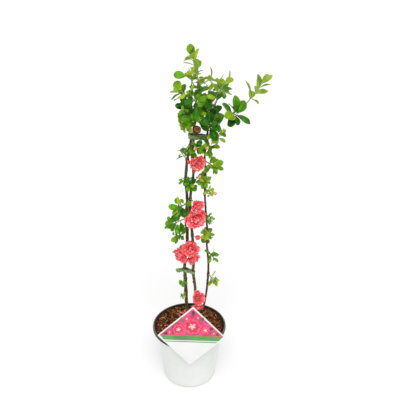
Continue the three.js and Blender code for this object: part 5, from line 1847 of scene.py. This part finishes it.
def build_upper_tie(rounds, dice):
    heap = Heap()
    add_belt(heap, rounds, UPPER_TIE_WIDTH, UPPER_TIE_HEIGHT + UPPER_TIE_LIFT, -UPPER_TIE_SLOPE, dice)
    wide = [(centre, radius + WRAP_LIFT) for centre, radius in rounds]
    add_belt(heap, wide, UPPER_TIE_WIDTH * WRAP_WIDTH, UPPER_TIE_HEIGHT, -UPPER_TIE_SLOPE * WRAP_SLOPE,
             dice)
    (middle, _), (right, right_radius) = rounds
    knot = mix(middle, right, UPPER_KNOT_PLACE) - BACK * (right_radius + UPPER_KNOT_FORWARD)
    knot[2] = UPPER_TIE_HEIGHT
    add_knot(heap, knot, UPPER_KNOT_SIZE, dice)
    end = bezier(*(knot + np.array(corner) for corner in END_CORNERS))
    add_ribbon(heap, end, END_WIDTH, dice, END_TWIST)
    heap.build("tape_upper", "tape", ["tie_upper"], 50)


# Foliage and blossom
TWIG_END = 0.7
BRANCH_TIP = 0.8
STALK_BACK = 0.1
BUD_LIFT = 0.5
BUD_MIDDLE = 0.4
BUD_STALK = (1.0, 0.9)


def build_foliage(masses, blooms):
    leaves = {tint: Heap() for tint in ("dark", "green", "lime")}
    twigs = Heap()
    for number, grown in enumerate(masses):
        one = grown.mass
        dice = np.random.default_rng(LEAF_SEED + number)
        shades = SPRAY_PAINTS[one.kind or one.tint].split()
        kept = [(i, blade) for i, blade in enumerate(grown.blades) if is_shown(blade, blooms)]
        kept += [(number + i // FINE_LEAVES, blade) for i, blade in enumerate(grown.fine_blades)]
        for i, blade in kept:
            add_leaf(leaves[one.tint], blade, "leaf_" + shades[i % len(shades)], dice)
        bark = "shoot_brown" if one.tint == "dark" else "shoot_green"
        foot, tip = stem_radii(one)
        add_twig(twigs, grown.curve, foot, tip * TWIG_END, bark, 8)
        for curve in grown.twigs:
            add_twig(twigs, curve, BRANCH_FOOT, BRANCH_TIP, bark, 6, 1)
        for curve in grown.fine_twigs:
            add_twig(twigs, curve, FINE_FOOT, FINE_TIP, bark, 5, 0.5)
    for tint, heap in leaves.items():
        stood_for = [one.name for one in MASSES if one.tint == tint and not one.blooms]
        heap.build("leaves_" + tint, "foliage", stood_for, 70)
    twigs.build("twigs", "foliage", [], 60)


def build_blossom(masses):
    blossom, green = Heap(), Heap()
    for number, grown in enumerate(masses):
        dice = np.random.default_rng(FLOWER_SEED + number)
        for bloom in grown.blooms:
            add_flower(blossom, green, bloom._replace(size=bloom.size * grown.mass.scale), dice)
            start = grown.curve.point(BLOOM_STALK_START)
            end = bloom.centre - bloom.facing * (STALK_BACK * bloom.size)
            add_twig(green, bezier(start, end), STALK_TIP, STALK_TIP, "shoot_green", 6, 0)
    for number, (springs, height, place, size, tone) in enumerate(BUDS):
        dice = np.random.default_rng(BUD_SEED + number)
        stalk = springing_curve(springs, height, place)
        facing = unit(stalk.tangent(1) + UP * BUD_LIFT)
        centre = np.array(place, float) + facing * (BUD_MIDDLE * size)
        add_bud(blossom, centre, facing, size, "bud_" + tone, dice)
        add_twig(green, stalk, *BUD_STALK, "shoot_green")
    for x, y, size in FALLEN_PETALS:
        dice = np.random.default_rng(size)
        heading = dice.uniform(0, TURN)
        direction = np.array([math.cos(heading), math.sin(heading), 0])
        foot = np.array([x, y, SOIL_TOP + FALLEN_HEIGHT])
        petal = Blade(foot, direction, UP, size, FALLEN_WIDTH * size)
        add_petal(blossom, petal, PETAL_SHADES[0], FALLEN_CUP, FALLEN_FRILL, dice)
    blossom.build("blossom", "blossom", [one.name for one in MASSES if one.blooms], 70)
    green.build("flower_stalks", "foliage", [], 60)


def build_stage():
    mesh = bpy.data.meshes.new("floor")
    corners = [(-1, -1), (1, -1), (1, 1), (-1, 1)]
    mesh.from_pydata([(x * FLOOR_REACH, y * FLOOR_REACH, 0) for x, y in corners], [], [range(4)])
    white = bpy.data.materials.new("floor_white")
    white.use_nodes = True
    shader = white.node_tree.nodes["Principled BSDF"]
    shader.inputs["Base Color"].default_value = FLOOR_WHITE
    shader.inputs["Roughness"].default_value = FLOOR_ROUGHNESS
    mesh.materials.append(white)
    floor = add_object("floor", mesh)


def build_lights():
    world = bpy.data.worlds.new("studio")
    world.use_nodes = True
    sky = world.node_tree.nodes["Background"]
    sky.inputs["Color"].default_value = (1, 1, 1, 1)
    sky.inputs["Strength"].default_value = WORLD_STRENGTH
    bpy.context.scene.world = world
    light = bpy.data.lights.new("key_light", "SUN")
    light.energy = KEY_ENERGY
    light.angle = math.radians(KEY_BREADTH)
    lamp = add_object("key_light", light)
    lamp.rotation_euler = (math.radians(KEY_PITCH), 0, math.radians(KEY_HEADING))
    bpy.context.scene.view_settings.view_transform = "Standard"


def build_camera():
    camera = bpy.data.cameras.new("camera")
    camera.lens = CAMERA_LENS
    camera.sensor_width = CAMERA_SENSOR
    camera.clip_start, camera.clip_end = CAMERA_CLIP
    eye = add_object("camera", camera)
    eye.location = [value * MM for value in CAMERA_PLACE]
    eye.rotation_euler = (math.radians(90 - CAMERA_PITCH), 0, math.radians(-CAMERA_YAW))
    bpy.context.scene.camera = eye


build_camera()
build_lights()
build_stage()
make_paints()

for spec in LIMBS:
    grow_limb(spec)
lower_tie = grow_lower_tie()
upper_tie = grow_upper_tie()
stems = [mass_stem(one) for one in MASSES]
for one, stem in zip(MASSES, stems):
    take(tube_points(*stem, 3), one.name)
masses = [grow_mass(one, stem.curve) for one, stem in zip(MASSES, stems)]
blooms = [bloom for grown in masses for bloom in grown.blooms]
for index, grown in enumerate(masses):
    grow_finer(grown, index, blooms)

build_pot()
build_soil()
build_card()
tie_dice = np.random.default_rng(TIE_SEED)
build_lower_tie(lower_tie, tie_dice)
build_upper_tie(upper_tie, tie_dice)
for number, spec in enumerate(LIMBS):
    build_bark(spec, number)
build_cut_face()
build_foliage(masses, blooms)
build_blossom(masses)
